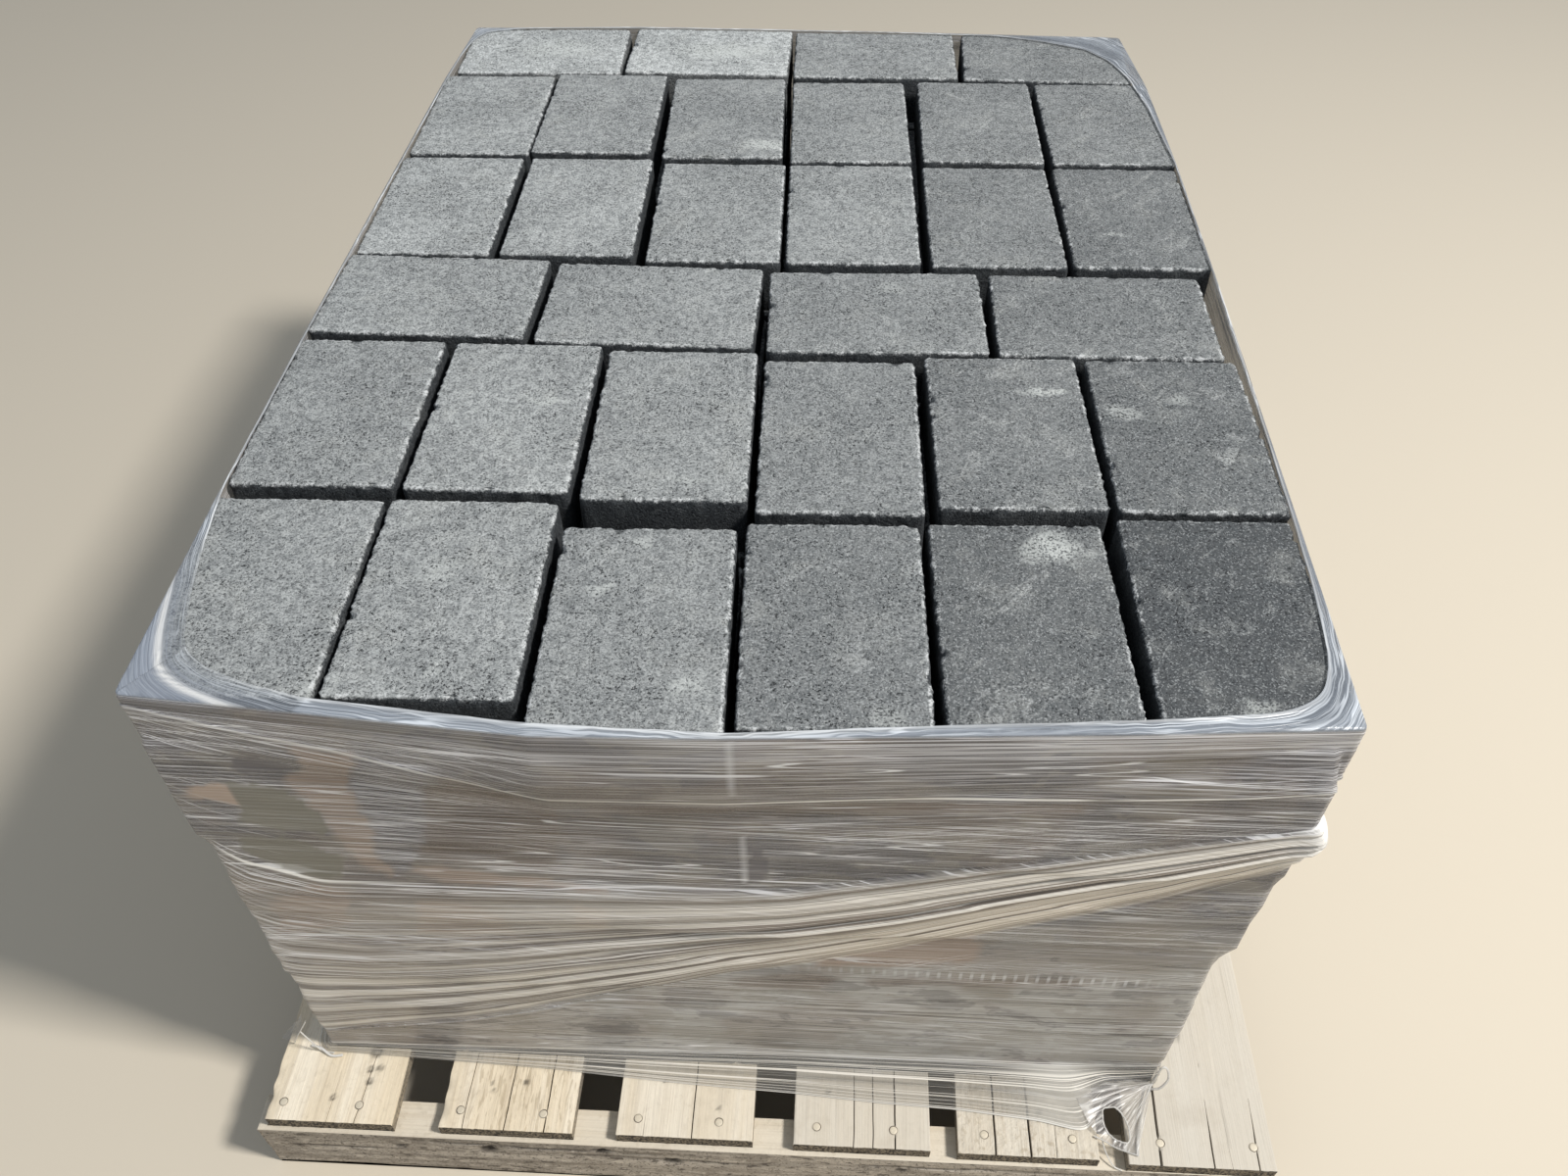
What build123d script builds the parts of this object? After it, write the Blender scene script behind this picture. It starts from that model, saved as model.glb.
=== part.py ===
from build123d import *
import os

os.makedirs("parts", exist_ok=True)

# A wooden pallet with ten layers of concrete pavers, held by a stretched plastic film.
# Millimetres. The origin is on the ground, under the middle of the pallet.
# X runs along the stringers, Y along the deck boards, Z up. The front faces -Y.

# Pavers, sold as 6 by 9 inches and 60 mm thick
PAVER_WIDTH = 145.0
PAVER_LENGTH = 218.0
PAVER_THICKNESS = 60.0
PAVER_CORNER_RADIUS = 5.0
PAVER_EDGE_CHAMFER = 2.0

# Rows of one layer from the front: how many pavers, and whether they lie crosswise
UPRIGHT_ROW = (6, False)
CROSS_ROW = (4, True)
ROWS = (UPRIGHT_ROW, UPRIGHT_ROW, CROSS_ROW, UPRIGHT_ROW, UPRIGHT_ROW, CROSS_ROW)

# Layers from the bottom: joint beside long sides, joint at short ends, shift right, shift back.
# The lower layers are packed tight, the upper ones have worked loose.
LAYERS = (
    (1.0, 1.0, -11.0, -21.0),
    (1.0, 1.0, -10.0, -22.0),
    (1.2, 1.2, -8.0, -20.0),
    (1.0, 1.2, -10.0, -22.0),
    (1.2, 1.4, -10.0, -20.0),
    (3.2, 4.2, -3.0, -17.0),
    (3.6, 4.6, -1.0, -15.0),
    (6.0, 8.4, -3.0, -9.0),
    (6.4, 9.0, -1.0, -8.0),
    (7.4, 10.6, 0.0, 0.0),
)

# How far each paver of the top layer lies off its place: right, back, turn in degrees
TOP_ROW_SHIFTS = (
    ((0, 0, 1.0), (-3, 4, 1.0), (-1, -23, 1.5), (-2, -12, 1.5), (-3, -6, 2.0), (1, 6, 1.0)),
    ((-2, 5, 1.0), (-1, 5, 0.5), (0, -1, 1.0), (-1, -11, 1.0), (1, 1, 1.5), (1, 3, 1.0)),
    ((-4, 6, -0.8), (-5, -2, -1.0), (-6, -6, 1.5), (-8, -4, 0.3)),
    ((1, 1, 1.0), (3, 4, 1.0), (9, -2, 1.0), (6, 0, 1.2), (9, 0, 1.0), (8, 3, 0.6)),
    ((0, -2, 1.2), (-6, 7, 0.5), (-1, 1, 1.5), (1, -4, 1.5), (8, 2, 0.3), (8, 2, 1.0)),
    ((4, -2, 1.5), (0, 5, -0.5), (-5, 1, 0.6), (-7, -1, -1.5)),
)

# Pallet
STRINGER_LENGTH = 1050.0
STRINGER_THICKNESS = 38.0
STRINGER_HEIGHT = 89.0
STRINGER_NAMES = ("stringer_front", "stringer_middle", "stringer_rear")
PALLET_LENGTH = 1320.0
DECK_THICKNESS = 18.0
BOARD_WIDTHS = (136.0, 140.0, 142.0, 141.0, 144.0, 149.0)
BOARD_GAPS = (48.0, 44.0, 41.0, 27.0, 28.0)
BOARD_SETBACKS = (5.0, 5.0, 6.0, 5.0, 4.0, 1.0)
DECK_START = 10.0

# Nails, two where each board crosses each stringer
NAIL_HEAD_DIAMETER = 9.0
NAIL_HEAD_THICKNESS = 1.4
NAIL_SHANK_DIAMETER = 3.4
NAIL_LENGTH = 60.0
NAIL_CLEARANCE = 0.05
NAIL_OFF_CENTRE = 5.0
# Distances of the two nails from the left and from the right edge of each board
NAIL_INSETS = ((17.0, 39.0), (20.0, 33.0), (22.0, 36.0), (24.0, 38.0), (28.0, 26.0), (35.0, 20.0))

# Place of the load on the deck
LOAD_RIGHT = -15.0
LOAD_BACK = 30.0

# Stretch film, drawn as one thin skin
FILM_WALL = 1.0
FILM_CLEARANCE = 0.4
FILM_MOUTH_EDGE = 6.0
FILM_MOUTH_RADIUS = 170.0
SKIRT_HEIGHT = 45.0
SKIRT_LIFT = 0.4
SKIRT_FRONT_LEFT = (58.0, 2.0)
SKIRT_FRONT_RIGHT = (2.0, 58.0)
SKIRT_REAR = (20.0, 20.0)

# Gathered band across the front of the film: heights of its edges above the deck
BAND_PROUD = 4.0
BAND_LEFT_HEIGHTS = (60.0, 350.0)
BAND_RIGHT_HEIGHTS = (440.0, 485.0)

DECK_TOP = STRINGER_HEIGHT + DECK_THICKNESS
LOAD_TOP = DECK_TOP + len(LAYERS) * PAVER_THICKNESS


def board_edges():
    """Left and right edge of each deck board, from the left."""
    edges = []
    left = DECK_START - STRINGER_LENGTH / 2
    for width, gap in zip(BOARD_WIDTHS, BOARD_GAPS + (0.0,)):
        edges.append((left, left + width))
        left += width + gap
    return edges


def stringer_centres():
    """Y of the middle of each stringer, from the front."""
    outer = (PALLET_LENGTH - STRINGER_THICKNESS) / 2
    return (-outer, 0.0, outer)


def board_nails(index):
    """Places of the nails of one deck board."""
    left, right = board_edges()[index]
    from_left, from_right = NAIL_INSETS[index]
    places = []
    for centre in stringer_centres():
        places.append((left + from_left, centre + NAIL_OFF_CENTRE))
        places.append((right - from_right, centre + NAIL_OFF_CENTRE))
    return places


def all_nails():
    """Places of every nail of the deck."""
    return [place for index in range(len(BOARD_WIDTHS)) for place in board_nails(index)]


def upright_cylinder(place, diameter, bottom, top):
    """A cylinder that stands at a place of the deck, from one height to another."""
    x, y = place
    return Pos(x, y, (bottom + top) / 2) * Cylinder(diameter / 2, top - bottom)


def block(low, high):
    """A box between two opposite corners."""
    size = [b - a for a, b in zip(low, high)]
    centre = [(a + b) / 2 for a, b in zip(low, high)]
    return Pos(*centre) * Box(*size)


def nail(place, clearance=0.0):
    """One nail with its flat head flush with the deck, or the hole that it fills."""
    head_bottom = DECK_TOP - NAIL_HEAD_THICKNESS
    shank_bottom = DECK_TOP - NAIL_LENGTH - clearance
    head = upright_cylinder(place, NAIL_HEAD_DIAMETER + 2 * clearance, head_bottom, DECK_TOP)
    shank = upright_cylinder(place, NAIL_SHANK_DIAMETER + 2 * clearance, shank_bottom, head_bottom)
    return head + shank


def nail_holes(places):
    """The holes for some nails."""
    return [nail(place, NAIL_CLEARANCE) for place in places]


def deck_board(index):
    """One deck board with its nail holes."""
    left, right = board_edges()[index]
    setback = BOARD_SETBACKS[index]
    half = PALLET_LENGTH / 2
    board = block((left, setback - half, STRINGER_HEIGHT), (right, half - setback, DECK_TOP))
    return board - nail_holes(board_nails(index))


def stringer(centre):
    """One stringer on edge, with the holes of the nails driven into it."""
    half = STRINGER_LENGTH / 2
    side = STRINGER_THICKNESS / 2
    body = block((-half, centre - side, 0), (half, centre + side, STRINGER_HEIGHT))
    own = [place for place in all_nails() if abs(place[1] - centre) < side]
    return body - nail_holes(own)


def paver():
    """One paver with rounded corners and a worn upper edge, its underside at z = 0."""
    body = extrude(RectangleRounded(PAVER_WIDTH, PAVER_LENGTH, PAVER_CORNER_RADIUS), PAVER_THICKNESS)
    return chamfer(body.faces().sort_by(Axis.Z)[-1].edges(), PAVER_EDGE_CHAMFER)


def layer_places(index):
    """Centre and turn of each paver of a layer, by rows from the front."""
    side_joint, end_joint, shift_right, shift_back = LAYERS[index]
    cell_width = PAVER_WIDTH + side_joint
    cell_length = PAVER_LENGTH + end_joint
    depths = [cell_width if crosswise else cell_length for count, crosswise in ROWS]
    y = LOAD_BACK + shift_back - sum(depths) / 2
    rows = []
    for (count, crosswise), depth in zip(ROWS, depths):
        pitch = cell_length if crosswise else cell_width
        first = LOAD_RIGHT + shift_right - pitch * (count - 1) / 2
        turn = 90.0 if crosswise else 0.0
        rows.append([(first + i * pitch, y + depth / 2, turn) for i in range(count)])
        y += depth
    return rows


def paver_places(index):
    """Centre and turn of each paver of a layer, with the shifts of the top layer."""
    places = []
    is_top = index == len(LAYERS) - 1
    for row, shifts in zip(layer_places(index), TOP_ROW_SHIFTS):
        for (x, y, turn), (right, back, extra) in zip(row, shifts):
            if is_top:
                x, y, turn = x + right, y + back, turn + extra
            places.append((x, y, turn))
    return places


def paver_layer(index):
    """One layer of separate pavers."""
    bottom = DECK_TOP + index * PAVER_THICKNESS
    one = paver()
    return [Pos(x, y, bottom) * Rot(0, 0, turn) * one for x, y, turn in paver_places(index)]


def paver_corners(index):
    """Plan corners of every paver of a layer, before they are rounded."""
    corners = []
    for x, y, turn in paver_places(index):
        place = Pos(x, y, 0) * Rot(0, 0, turn)
        for across in (-PAVER_WIDTH / 2, PAVER_WIDTH / 2):
            for along in (-PAVER_LENGTH / 2, PAVER_LENGTH / 2):
                point = (place * Pos(across, along, 0)).position
                corners.append((point.X, point.Y))
    return corners


def turns_left(a, b, c):
    """Whether the way from a by b to c turns clearly to the left."""
    return (b[0] - a[0]) * (c[1] - b[1]) - (b[1] - a[1]) * (c[0] - b[0]) > PAVER_EDGE_CHAMFER


def half_hull(points):
    """One side of the tight outline around sorted points."""
    chain = []
    for point in points:
        while len(chain) > 1 and not turns_left(chain[-2], chain[-1], point):
            chain.pop()
        chain.append(point)
    return chain[:-1]


def layer_outline(index):
    """Corners of the tight outline that the film takes around a layer."""
    points = sorted(paver_corners(index))
    return half_hull(points) + half_hull(points[::-1])


def outline_prism(index, grow, bottom, top):
    """A prism over the outline of a layer, grown by some distance."""
    face = make_face(Polyline(*layer_outline(index), close=True))
    grown = offset(face, grow, kind=Kind.INTERSECTION)
    return extrude(Pos(0, 0, bottom) * grown, top - bottom)


def film_body(grow):
    """The load's outline grown by some distance on every side, layer by layer."""
    slices = []
    for index in range(len(LAYERS)):
        bottom = DECK_TOP + index * PAVER_THICKNESS
        low = bottom - grow if index else bottom + SKIRT_LIFT
        slices.append(outline_prism(index, grow, low, bottom + PAVER_THICKNESS + grow))
    return slices[0] + slices[1:]


def load_edges(index):
    """Left, right, front and rear edge of a layer."""
    corners = paver_corners(index)
    across = [corner[0] for corner in corners]
    along = [corner[1] for corner in corners]
    return min(across), max(across), min(along), max(along)


def skirt(inset):
    """The flared foot of the film down to the deck, as a full solid."""
    left, right, front, rear = load_edges(0)
    margin = FILM_CLEARANCE + FILM_WALL - inset
    left, right, front, rear = left - margin, right + margin, front - margin, rear + margin
    head = ((left, front), (right, front), (right, rear), (left, rear))
    foot = (
        (left - SKIRT_FRONT_LEFT[0], front - SKIRT_FRONT_LEFT[1]),
        (right + SKIRT_FRONT_RIGHT[0], front - SKIRT_FRONT_RIGHT[1]),
        (right + SKIRT_REAR[0], rear + SKIRT_REAR[1]),
        (left - SKIRT_REAR[0], rear + SKIRT_REAR[1]),
    )
    head_face = Pos(0, 0, DECK_TOP + SKIRT_HEIGHT) * make_face(Polyline(*head, close=True))
    foot_face = Pos(0, 0, DECK_TOP + SKIRT_LIFT) * make_face(Polyline(*foot, close=True))
    return loft([foot_face, head_face], ruled=True)


def film_band():
    """The gathered band of film that crosses the front, as a raised strip."""
    left, right, front, _ = load_edges(0)
    points = (
        (left, DECK_TOP + BAND_LEFT_HEIGHTS[0]),
        (right, DECK_TOP + BAND_RIGHT_HEIGHTS[0]),
        (right, DECK_TOP + BAND_RIGHT_HEIGHTS[1]),
        (left, DECK_TOP + BAND_LEFT_HEIGHTS[1]),
    )
    foremost = min(load_edges(index)[2] for index in range(len(LAYERS) - 1))
    outside = foremost - FILM_CLEARANCE - FILM_WALL - BAND_PROUD
    face = make_face(Polyline(*[(x, outside, z) for x, z in points], close=True))
    return extrude(face, amount=front + PAVER_WIDTH / 4 - outside, dir=(0, 1, 0))


def film_mouth():
    """The open middle of the film over the top layer."""
    left, right, front, rear = load_edges(len(LAYERS) - 2)
    width = right - left - 2 * FILM_MOUTH_EDGE
    depth = rear - front - 2 * FILM_MOUTH_EDGE
    centre = Pos((left + right) / 2, (front + rear) / 2, LOAD_TOP)
    return centre * extrude(RectangleRounded(width, depth, FILM_MOUTH_RADIUS), PAVER_THICKNESS)


def stretch_film():
    """The stretched film around the load: walls, corner lips, band and flared foot."""
    outer = film_body(FILM_CLEARANCE + FILM_WALL) + skirt(0.0) + film_band()
    below = block((-PALLET_LENGTH, -PALLET_LENGTH, 0), (PALLET_LENGTH, PALLET_LENGTH, DECK_TOP + SKIRT_LIFT))
    return outer - film_body(FILM_CLEARANCE) - skirt(FILM_WALL) - film_mouth() - below


def save(shapes, name):
    """Write one node to its file."""
    node = Compound(children=shapes) if isinstance(shapes, list) else shapes
    node.label = name
    export_step(node, f"parts/{name}.step")


for number in range(len(BOARD_WIDTHS)):
    save(deck_board(number), f"deck_board_{number + 1}")
for name, middle in zip(STRINGER_NAMES, stringer_centres()):
    save(stringer(middle), name)
save([nail(place) for place in all_nails()], "deck_nails")
for number in range(len(LAYERS)):
    save(paver_layer(number), f"paver_layer_{number + 1}")
save(stretch_film(), "stretch_film")
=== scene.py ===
import math
from types import SimpleNamespace

import bmesh
import bpy
import numpy as np
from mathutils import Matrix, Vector, noise
from mathutils.geometry import convex_hull_2d


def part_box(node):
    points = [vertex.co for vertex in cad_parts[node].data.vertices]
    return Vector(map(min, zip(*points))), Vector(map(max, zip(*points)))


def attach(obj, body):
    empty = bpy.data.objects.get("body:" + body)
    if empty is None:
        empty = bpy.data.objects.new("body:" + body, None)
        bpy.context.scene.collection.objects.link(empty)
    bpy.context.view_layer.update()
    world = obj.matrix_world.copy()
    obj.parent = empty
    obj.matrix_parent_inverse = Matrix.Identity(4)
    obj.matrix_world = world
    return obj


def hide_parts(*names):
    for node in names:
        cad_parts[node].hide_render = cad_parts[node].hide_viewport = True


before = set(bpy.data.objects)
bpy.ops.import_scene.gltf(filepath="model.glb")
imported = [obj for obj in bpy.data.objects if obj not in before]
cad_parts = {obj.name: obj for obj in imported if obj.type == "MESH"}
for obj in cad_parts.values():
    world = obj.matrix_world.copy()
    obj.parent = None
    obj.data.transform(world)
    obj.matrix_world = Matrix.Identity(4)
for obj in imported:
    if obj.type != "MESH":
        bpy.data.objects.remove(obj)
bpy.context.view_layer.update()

MM = 0.001
LAYERS = 10
TOP_LAYER = f"paver_layer_{LAYERS}"
DECK_TOP = 0.107
LOAD_TOP = 0.707

# Camera, solved from the corners of the top pavers
CAMERA_PLACE = (0.0542, -1.1290, 1.4139)
CAMERA_TURNS = (44.079, 0.193, 2.733)
CAMERA_LENS = 28.526

# Studio: floor size and colour, sky, and lamps as place, target, size, power and colour
FLOOR_SIZE = 14.0
FLOOR_COLOUR = (214, 204, 186)
SKY_COLOUR = (0.82, 0.90, 1.0, 1.0)
SKY_STRENGTH = 0.37
LAMPS = {
    "key_lamp": ((3.3, -1.35, 4.9), (0.0, -0.1, 0.4), 0.7, 350.0, (1.0, 0.97, 0.93)),
    "fill_lamp": ((-1.8, -2.6, 2.2), (0.0, -0.2, 0.4), 2.4, 4.0, (1.0, 0.98, 0.95)),
}


# Meshes


def add_mesh(name, points, faces):
    """A new smooth mesh object from points in metres."""
    mesh = bpy.data.meshes.new(name)
    mesh.from_pydata([tuple(p) for p in points], [], [tuple(int(i) for i in f) for f in faces])
    mesh.validate()
    mesh.polygons.foreach_set("use_smooth", [True] * len(mesh.polygons))
    mesh.update()
    piece = bpy.data.objects.new(name, mesh)
    bpy.context.scene.collection.objects.link(piece)
    return piece


def ring_faces(rings, count, closed=True):
    """Four-sided faces between rings of points, each ring count points long."""
    faces = []
    for first in range(0, (rings - 1) * count, count):
        for i in range(count if closed else count - 1):
            j = (i + 1) % count
            faces.append((first + i, first + j, first + count + j, first + count + i))
    return faces


def add_marks(piece, **marks):
    """Numbers for the points of a piece, by name, for its material."""
    count = len(piece.data.vertices)
    for name, values in marks.items():
        flat = np.broadcast_to(np.asarray(values, dtype=np.float32).ravel(), count)
        layer = piece.data.attributes.new(name, "FLOAT", "POINT")
        layer.data.foreach_set("value", np.ascontiguousarray(flat))


def dress(piece, slot, material, *nodes):
    """Give a piece its material, and let it stand for CAD nodes. The slot argument is not used."""
    piece.data.materials.clear()
    piece.data.materials.append(material)
    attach(piece, "root")
    if nodes:
        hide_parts(*nodes)


class Mesh:
    """Points, faces and a tone for each point, gathered for one joined piece."""

    def __init__(self):
        self.points, self.faces, self.tones, self.count, self.marks = [], [], [], 0, {}

    def add(self, points, faces, tone):
        self.points.append(points)
        self.faces.extend([tuple(i + self.count for i in face) for face in faces])
        self.tones.extend(np.broadcast_to(tone, len(points)))
        self.count += len(points)

    def piece(self, name):
        made = add_mesh(name, np.concatenate(self.points), self.faces)
        add_marks(made, tone=self.tones, **self.marks)
        return made


# Materials


def srgb(red, green, blue):
    """A colour written as it looks, 0 to 255, as the renderer's linear values."""
    linear = []
    for value in (red, green, blue):
        c = value / 255
        linear.append(c / 12.92 if c <= 0.04045 else ((c + 0.055) / 1.055) ** 2.4)
    return (*linear, 1.0)


class Value:
    """What a material node gives out: a number, a place or a colour for each spot."""

    def __init__(self, graph, socket):
        self.graph, self.socket = graph, socket

    def __add__(self, other):
        return self.graph.math("ADD", self, other)

    def __sub__(self, other):
        return self.graph.math("SUBTRACT", self, other)

    def __rsub__(self, other):
        return self.graph.math("SUBTRACT", other, self)

    def __mul__(self, other):
        return self.graph.math("MULTIPLY", self, other)

    def __abs__(self):
        return self.graph.math("ABSOLUTE", self)

    def sine(self):
        return self.graph.math("SINE", self)

    def clamped(self):
        self.socket.node.use_clamp = True
        return self

    def span(self, low, high, to_low=0, to_high=1):
        """This number from low to high, eased into another range."""
        inputs = {"Value": self, "From Min": low, "From Max": high}
        inputs |= {"To Min": to_low, "To Max": to_high}
        eased = {"interpolation_type": "SMOOTHSTEP", "clamp": True}
        return self.graph.node("ShaderNodeMapRange", 0, inputs, **eased)


def largest(first, *others):
    """The largest of some numbers, at each spot."""
    for other in others:
        first = first.graph.math("MAXIMUM", first, other)
    return first


class Graph:
    """A material's node graph, with short names for the nodes used here."""

    def __init__(self, name):
        self.material = bpy.data.materials.new(name)
        self.material.use_nodes = True
        self.tree = self.material.node_tree
        self.shader = self.tree.nodes["Principled BSDF"]
        self.place = self.node("ShaderNodeTexCoord", "Object", {})

    def node(self, kind, output, inputs, **settings):
        """One output of a new node, made with some settings and inputs."""
        made = self.tree.nodes.new(kind)
        for key, value in settings.items():
            setattr(made, key, value)
        for key, value in inputs.items():
            self.put(made.inputs[key], value)
        return Value(self, made.outputs[output])

    def put(self, socket, value):
        """Link a value to a socket, or set the socket's own number or colour."""
        if isinstance(value, Value):
            self.tree.links.new(value.socket, socket)
        else:
            socket.default_value = srgb(*value) if socket.type == "RGBA" else value

    def attribute(self, name):
        return self.node("ShaderNodeAttribute", "Fac", {}, attribute_name=name)

    def math(self, operation, first, second=0):
        return self.node("ShaderNodeMath", 0, {0: first, 1: second}, operation=operation)

    def scaled(self, factors=(1, 1, 1), shift=(0, 0, 0), turn=(0, 0, 0), vector=None):
        inputs = {"Vector": vector or self.place, "Scale": factors, "Location": shift, "Rotation": turn}
        return self.node("ShaderNodeMapping", 0, inputs)

    def noise(self, vector, scale, detail=3, roughness=0.55, distortion=0):
        inputs = {"Vector": vector, "Scale": scale, "Detail": detail}
        inputs |= {"Roughness": roughness, "Distortion": distortion}
        return self.node("ShaderNodeTexNoise", "Fac", inputs)

    def mix(self, share, first, second):
        inputs = {"Factor": share, "A": first, "B": second}
        return self.node("ShaderNodeMix", 2, inputs, data_type="RGBA")

    def coats(self, colour, *coats):
        """A colour with other colours laid over it in turn, each by its share."""
        for share, coat in coats:
            colour = self.mix(share, colour, coat)
        return colour

    def bump(self, height, strength, distance):
        inputs = {"Height": height, "Strength": strength, "Distance": distance}
        return self.node("ShaderNodeBump", 0, inputs)

    def finish(self, colour, roughness, normal=None, alpha=None):
        found = {"Base Color": colour, "Roughness": roughness, "Normal": normal, "Alpha": alpha}
        for key, value in found.items():
            if value is not None:
                self.put(self.shader.inputs[key], value)
        return self.material


# Studio


def studio():
    """Pale floor, soft lamps and the photograph's camera."""
    bpy.ops.mesh.primitive_plane_add(size=FLOOR_SIZE)
    floor = bpy.context.object
    floor.name = "studio_floor"
    floor.data.materials.append(Graph("studio_floor").finish(FLOOR_COLOUR, 0.9))

    world = bpy.data.worlds.new("studio")
    scene = bpy.context.scene
    scene.world = world
    world.use_nodes = True
    sky = world.node_tree.nodes["Background"]
    sky.inputs["Color"].default_value = SKY_COLOUR
    sky.inputs["Strength"].default_value = SKY_STRENGTH

    for name, (place, target, size, power, colour) in LAMPS.items():
        data = bpy.data.lights.new(name, "AREA")
        data.size, data.energy, data.color = size, power, colour
        lamp = bpy.data.objects.new(name, data)
        lamp.location = place
        lamp.rotation_euler = (Vector(target) - Vector(place)).to_track_quat("-Z", "Y").to_euler()
        scene.collection.objects.link(lamp)

    data = bpy.data.cameras.new("camera")
    data.lens = CAMERA_LENS
    data.sensor_width = 36.0
    camera = bpy.data.objects.new("camera", data)
    camera.location = CAMERA_PLACE
    camera.rotation_euler = [math.radians(turn) for turn in CAMERA_TURNS]
    scene.collection.objects.link(camera)
    scene.camera = camera
    scene.view_settings.view_transform = "Standard"


# Concrete and nails

# Pale lime and dust marks on the load top, in mm: x, y, half sizes along x and y; and strength
LIME_MARKS = (
    (237, -391, 34, 22, 1.1), (249, -180, 28, 9, 0.95), (315, -207, 22, 12, 0.6),
    (376, -186, 14, 9, 0.45), (-104, -397, 14, 8, 0.7), (-127, -452, 18, 7, 0.8),
    (-48, -549, 22, 14, 0.6), (99, -574, 18, 12, 0.5), (371, -553, 20, 12, 0.6),
    (-258, -436, 26, 18, 0.5), (-240, -539, 9, 14, 0.6), (-67, -319, 24, 9, 0.5),
    (-38, 299, 34, 18, 1.4), (-215, -215, 28, 8, 0.8), (351, 105, 24, 6, 0.6),
    (-338, 566, 70, 40, 0.9), (-109, 569, 90, 30, 1.1), (-320, -560, 20, 14, 0.5),
    (110, -10, 20, 16, 0.4), (-80, 20, 10, 16, 0.5),
)
# How far the marks' edges wander, in metres, and by how much that moves them, in mm
LIME_WANDER = (0.030, 0.030, 0)
LIME_SHIFT = 15
# The scuffs and wrinkles all run one way across the pavers
SCUFF_TURN = math.radians(-48)


def concrete():
    """Charcoal concrete: fine pits and light grains, pale dust and a few lime patches; the pavers'
    sides are painted darker as shade.
    """
    g = Graph("charcoal_concrete")
    tone, arris = g.attribute("tone"), g.attribute("arris")
    pits = g.noise(g.place, 500, 2, 0.6)
    fine = g.noise(g.scaled(shift=(0.6, 2.9, 1.1)), 420, 4, 0.8)
    grains = g.noise(g.scaled(shift=(3.1, 1.7, 0.4)), 640, 1, 0.6)
    mottle = g.noise(g.scaled(shift=(1.3, 4.7, 2.4)), 120, 4, 0.7)
    cloud = g.noise(g.place, 11, 5, 0.65)
    dust = g.noise(g.scaled(shift=(7.3, 2.2, 5.1)), 24, 5, 0.7)
    diagonal = g.scaled(turn=(0, 0, SCUFF_TURN))
    scuff = g.noise(g.scaled((11, 46, 11), vector=diagonal), 1, 3, 0.6, 0.8)
    scuff = scuff.span(0.60, 0.68) * cloud.span(0.50, 0.60)
    wrinkle = g.noise(g.scaled((7, 17, 7), (0.4, 0.9, 0.2), vector=diagonal), 1, 3, 0.55, 0.6)
    wrinkled = dust.span(0.46, 0.54)
    # Pale wrinkle lines in the dust, each with a dark line beside it painted as its shade
    pale_wrinkle = wrinkled * abs(wrinkle - 0.500).span(0.003, 0.012, 0.22, 0)
    wrinkle_shade_line = wrinkled * abs(wrinkle - 0.482).span(0.003, 0.012, 0.18, 0)

    wander = g.node("ShaderNodeTexNoise", "Color", {"Vector": g.place, "Scale": 60})
    inputs = {0: wander, 1: LIME_WANDER, 2: g.place}
    wandered = g.node("ShaderNodeVectorMath", 0, inputs, operation="MULTIPLY_ADD")
    marks = []
    for x, y, half_x, half_y, strength in LIME_MARKS:
        shift = (-(x + LIME_SHIFT) / half_x, -(y + LIME_SHIFT) / half_y, 0)
        spot = g.scaled((1 / (half_x * MM), 1 / (half_y * MM), 0), shift, vector=wandered)
        away = g.node("ShaderNodeVectorMath", "Value", {0: spot}, operation="LENGTH")
        marks.append(away.span(0.25, 1.15, strength, 0))
    height = g.node("ShaderNodeSeparateXYZ", "Z", {0: g.place})
    lime = largest(*marks) * height.span(LOAD_TOP - 7 * MM, LOAD_TOP - 2 * MM)
    lime = (lime * pits.span(0.40, 0.56, 0.15, 1)).clamped()

    on_top = tone.span(0, 0.12, 0.25, 1)
    # Pale specks along the top edge: partly worn concrete, partly painted highlight where the edge
    # catches light
    worn_and_lit_edge = arris * (mottle.span(0.48, 0.58) * fine.span(0.44, 0.54, 0.1, 0.62))
    colour = g.coats(
        # Dark to pale by the tone: each paver's own lightness, lowered on the sides as painted shade
        g.mix(tone, (40, 44, 48), (228, 232, 231)),
        (mottle.span(0.36, 0.60, 0.46, 0), (76, 81, 84)),
        (cloud.span(0.35, 0.65, 0.22, 0), (78, 83, 86)),
        (dust.span(0.50, 0.75, 0, 0.40) * on_top, (186, 188, 184)),
        (wrinkle_shade_line * on_top, (50, 54, 58)),
        (pale_wrinkle * on_top, (204, 207, 206)),
        (scuff * 0.34 * on_top, (196, 198, 195)),
        (fine.span(0.38, 0.56, 0.60, 0), (42, 46, 50)),
        (grains.span(0.57, 0.65, 0, 0.32) * on_top, (208, 212, 213)),
        (pits.span(0.37, 0.42, 0.95, 0) * cloud.span(0.40, 0.58, 1, 0.6), (16, 19, 22)),
        (worn_and_lit_edge, (222, 225, 226)),
        (lime * 0.75, (204, 208, 205)),
    )
    return g.finish(colour, 0.92, g.bump(pits * 0.7 + fine * 0.3, 1, 0.0016))


def nail_steel():
    """Dull weathered nail heads with a dark rim: the shade in their dents, painted dark."""
    g = Graph("nail_steel")
    g.shader.inputs["Metallic"].default_value = 0.15
    rust = g.noise(g.place, 600, 2)
    colour = g.mix(g.attribute("tone"), (62, 50, 38), g.mix(rust, (200, 190, 170), (228, 218, 198)))
    return g.finish(colour, 0.6, g.bump(rust, 0.4, 0.0005))


# Pavers

CORNER_RADIUS = 5 * MM
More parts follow.
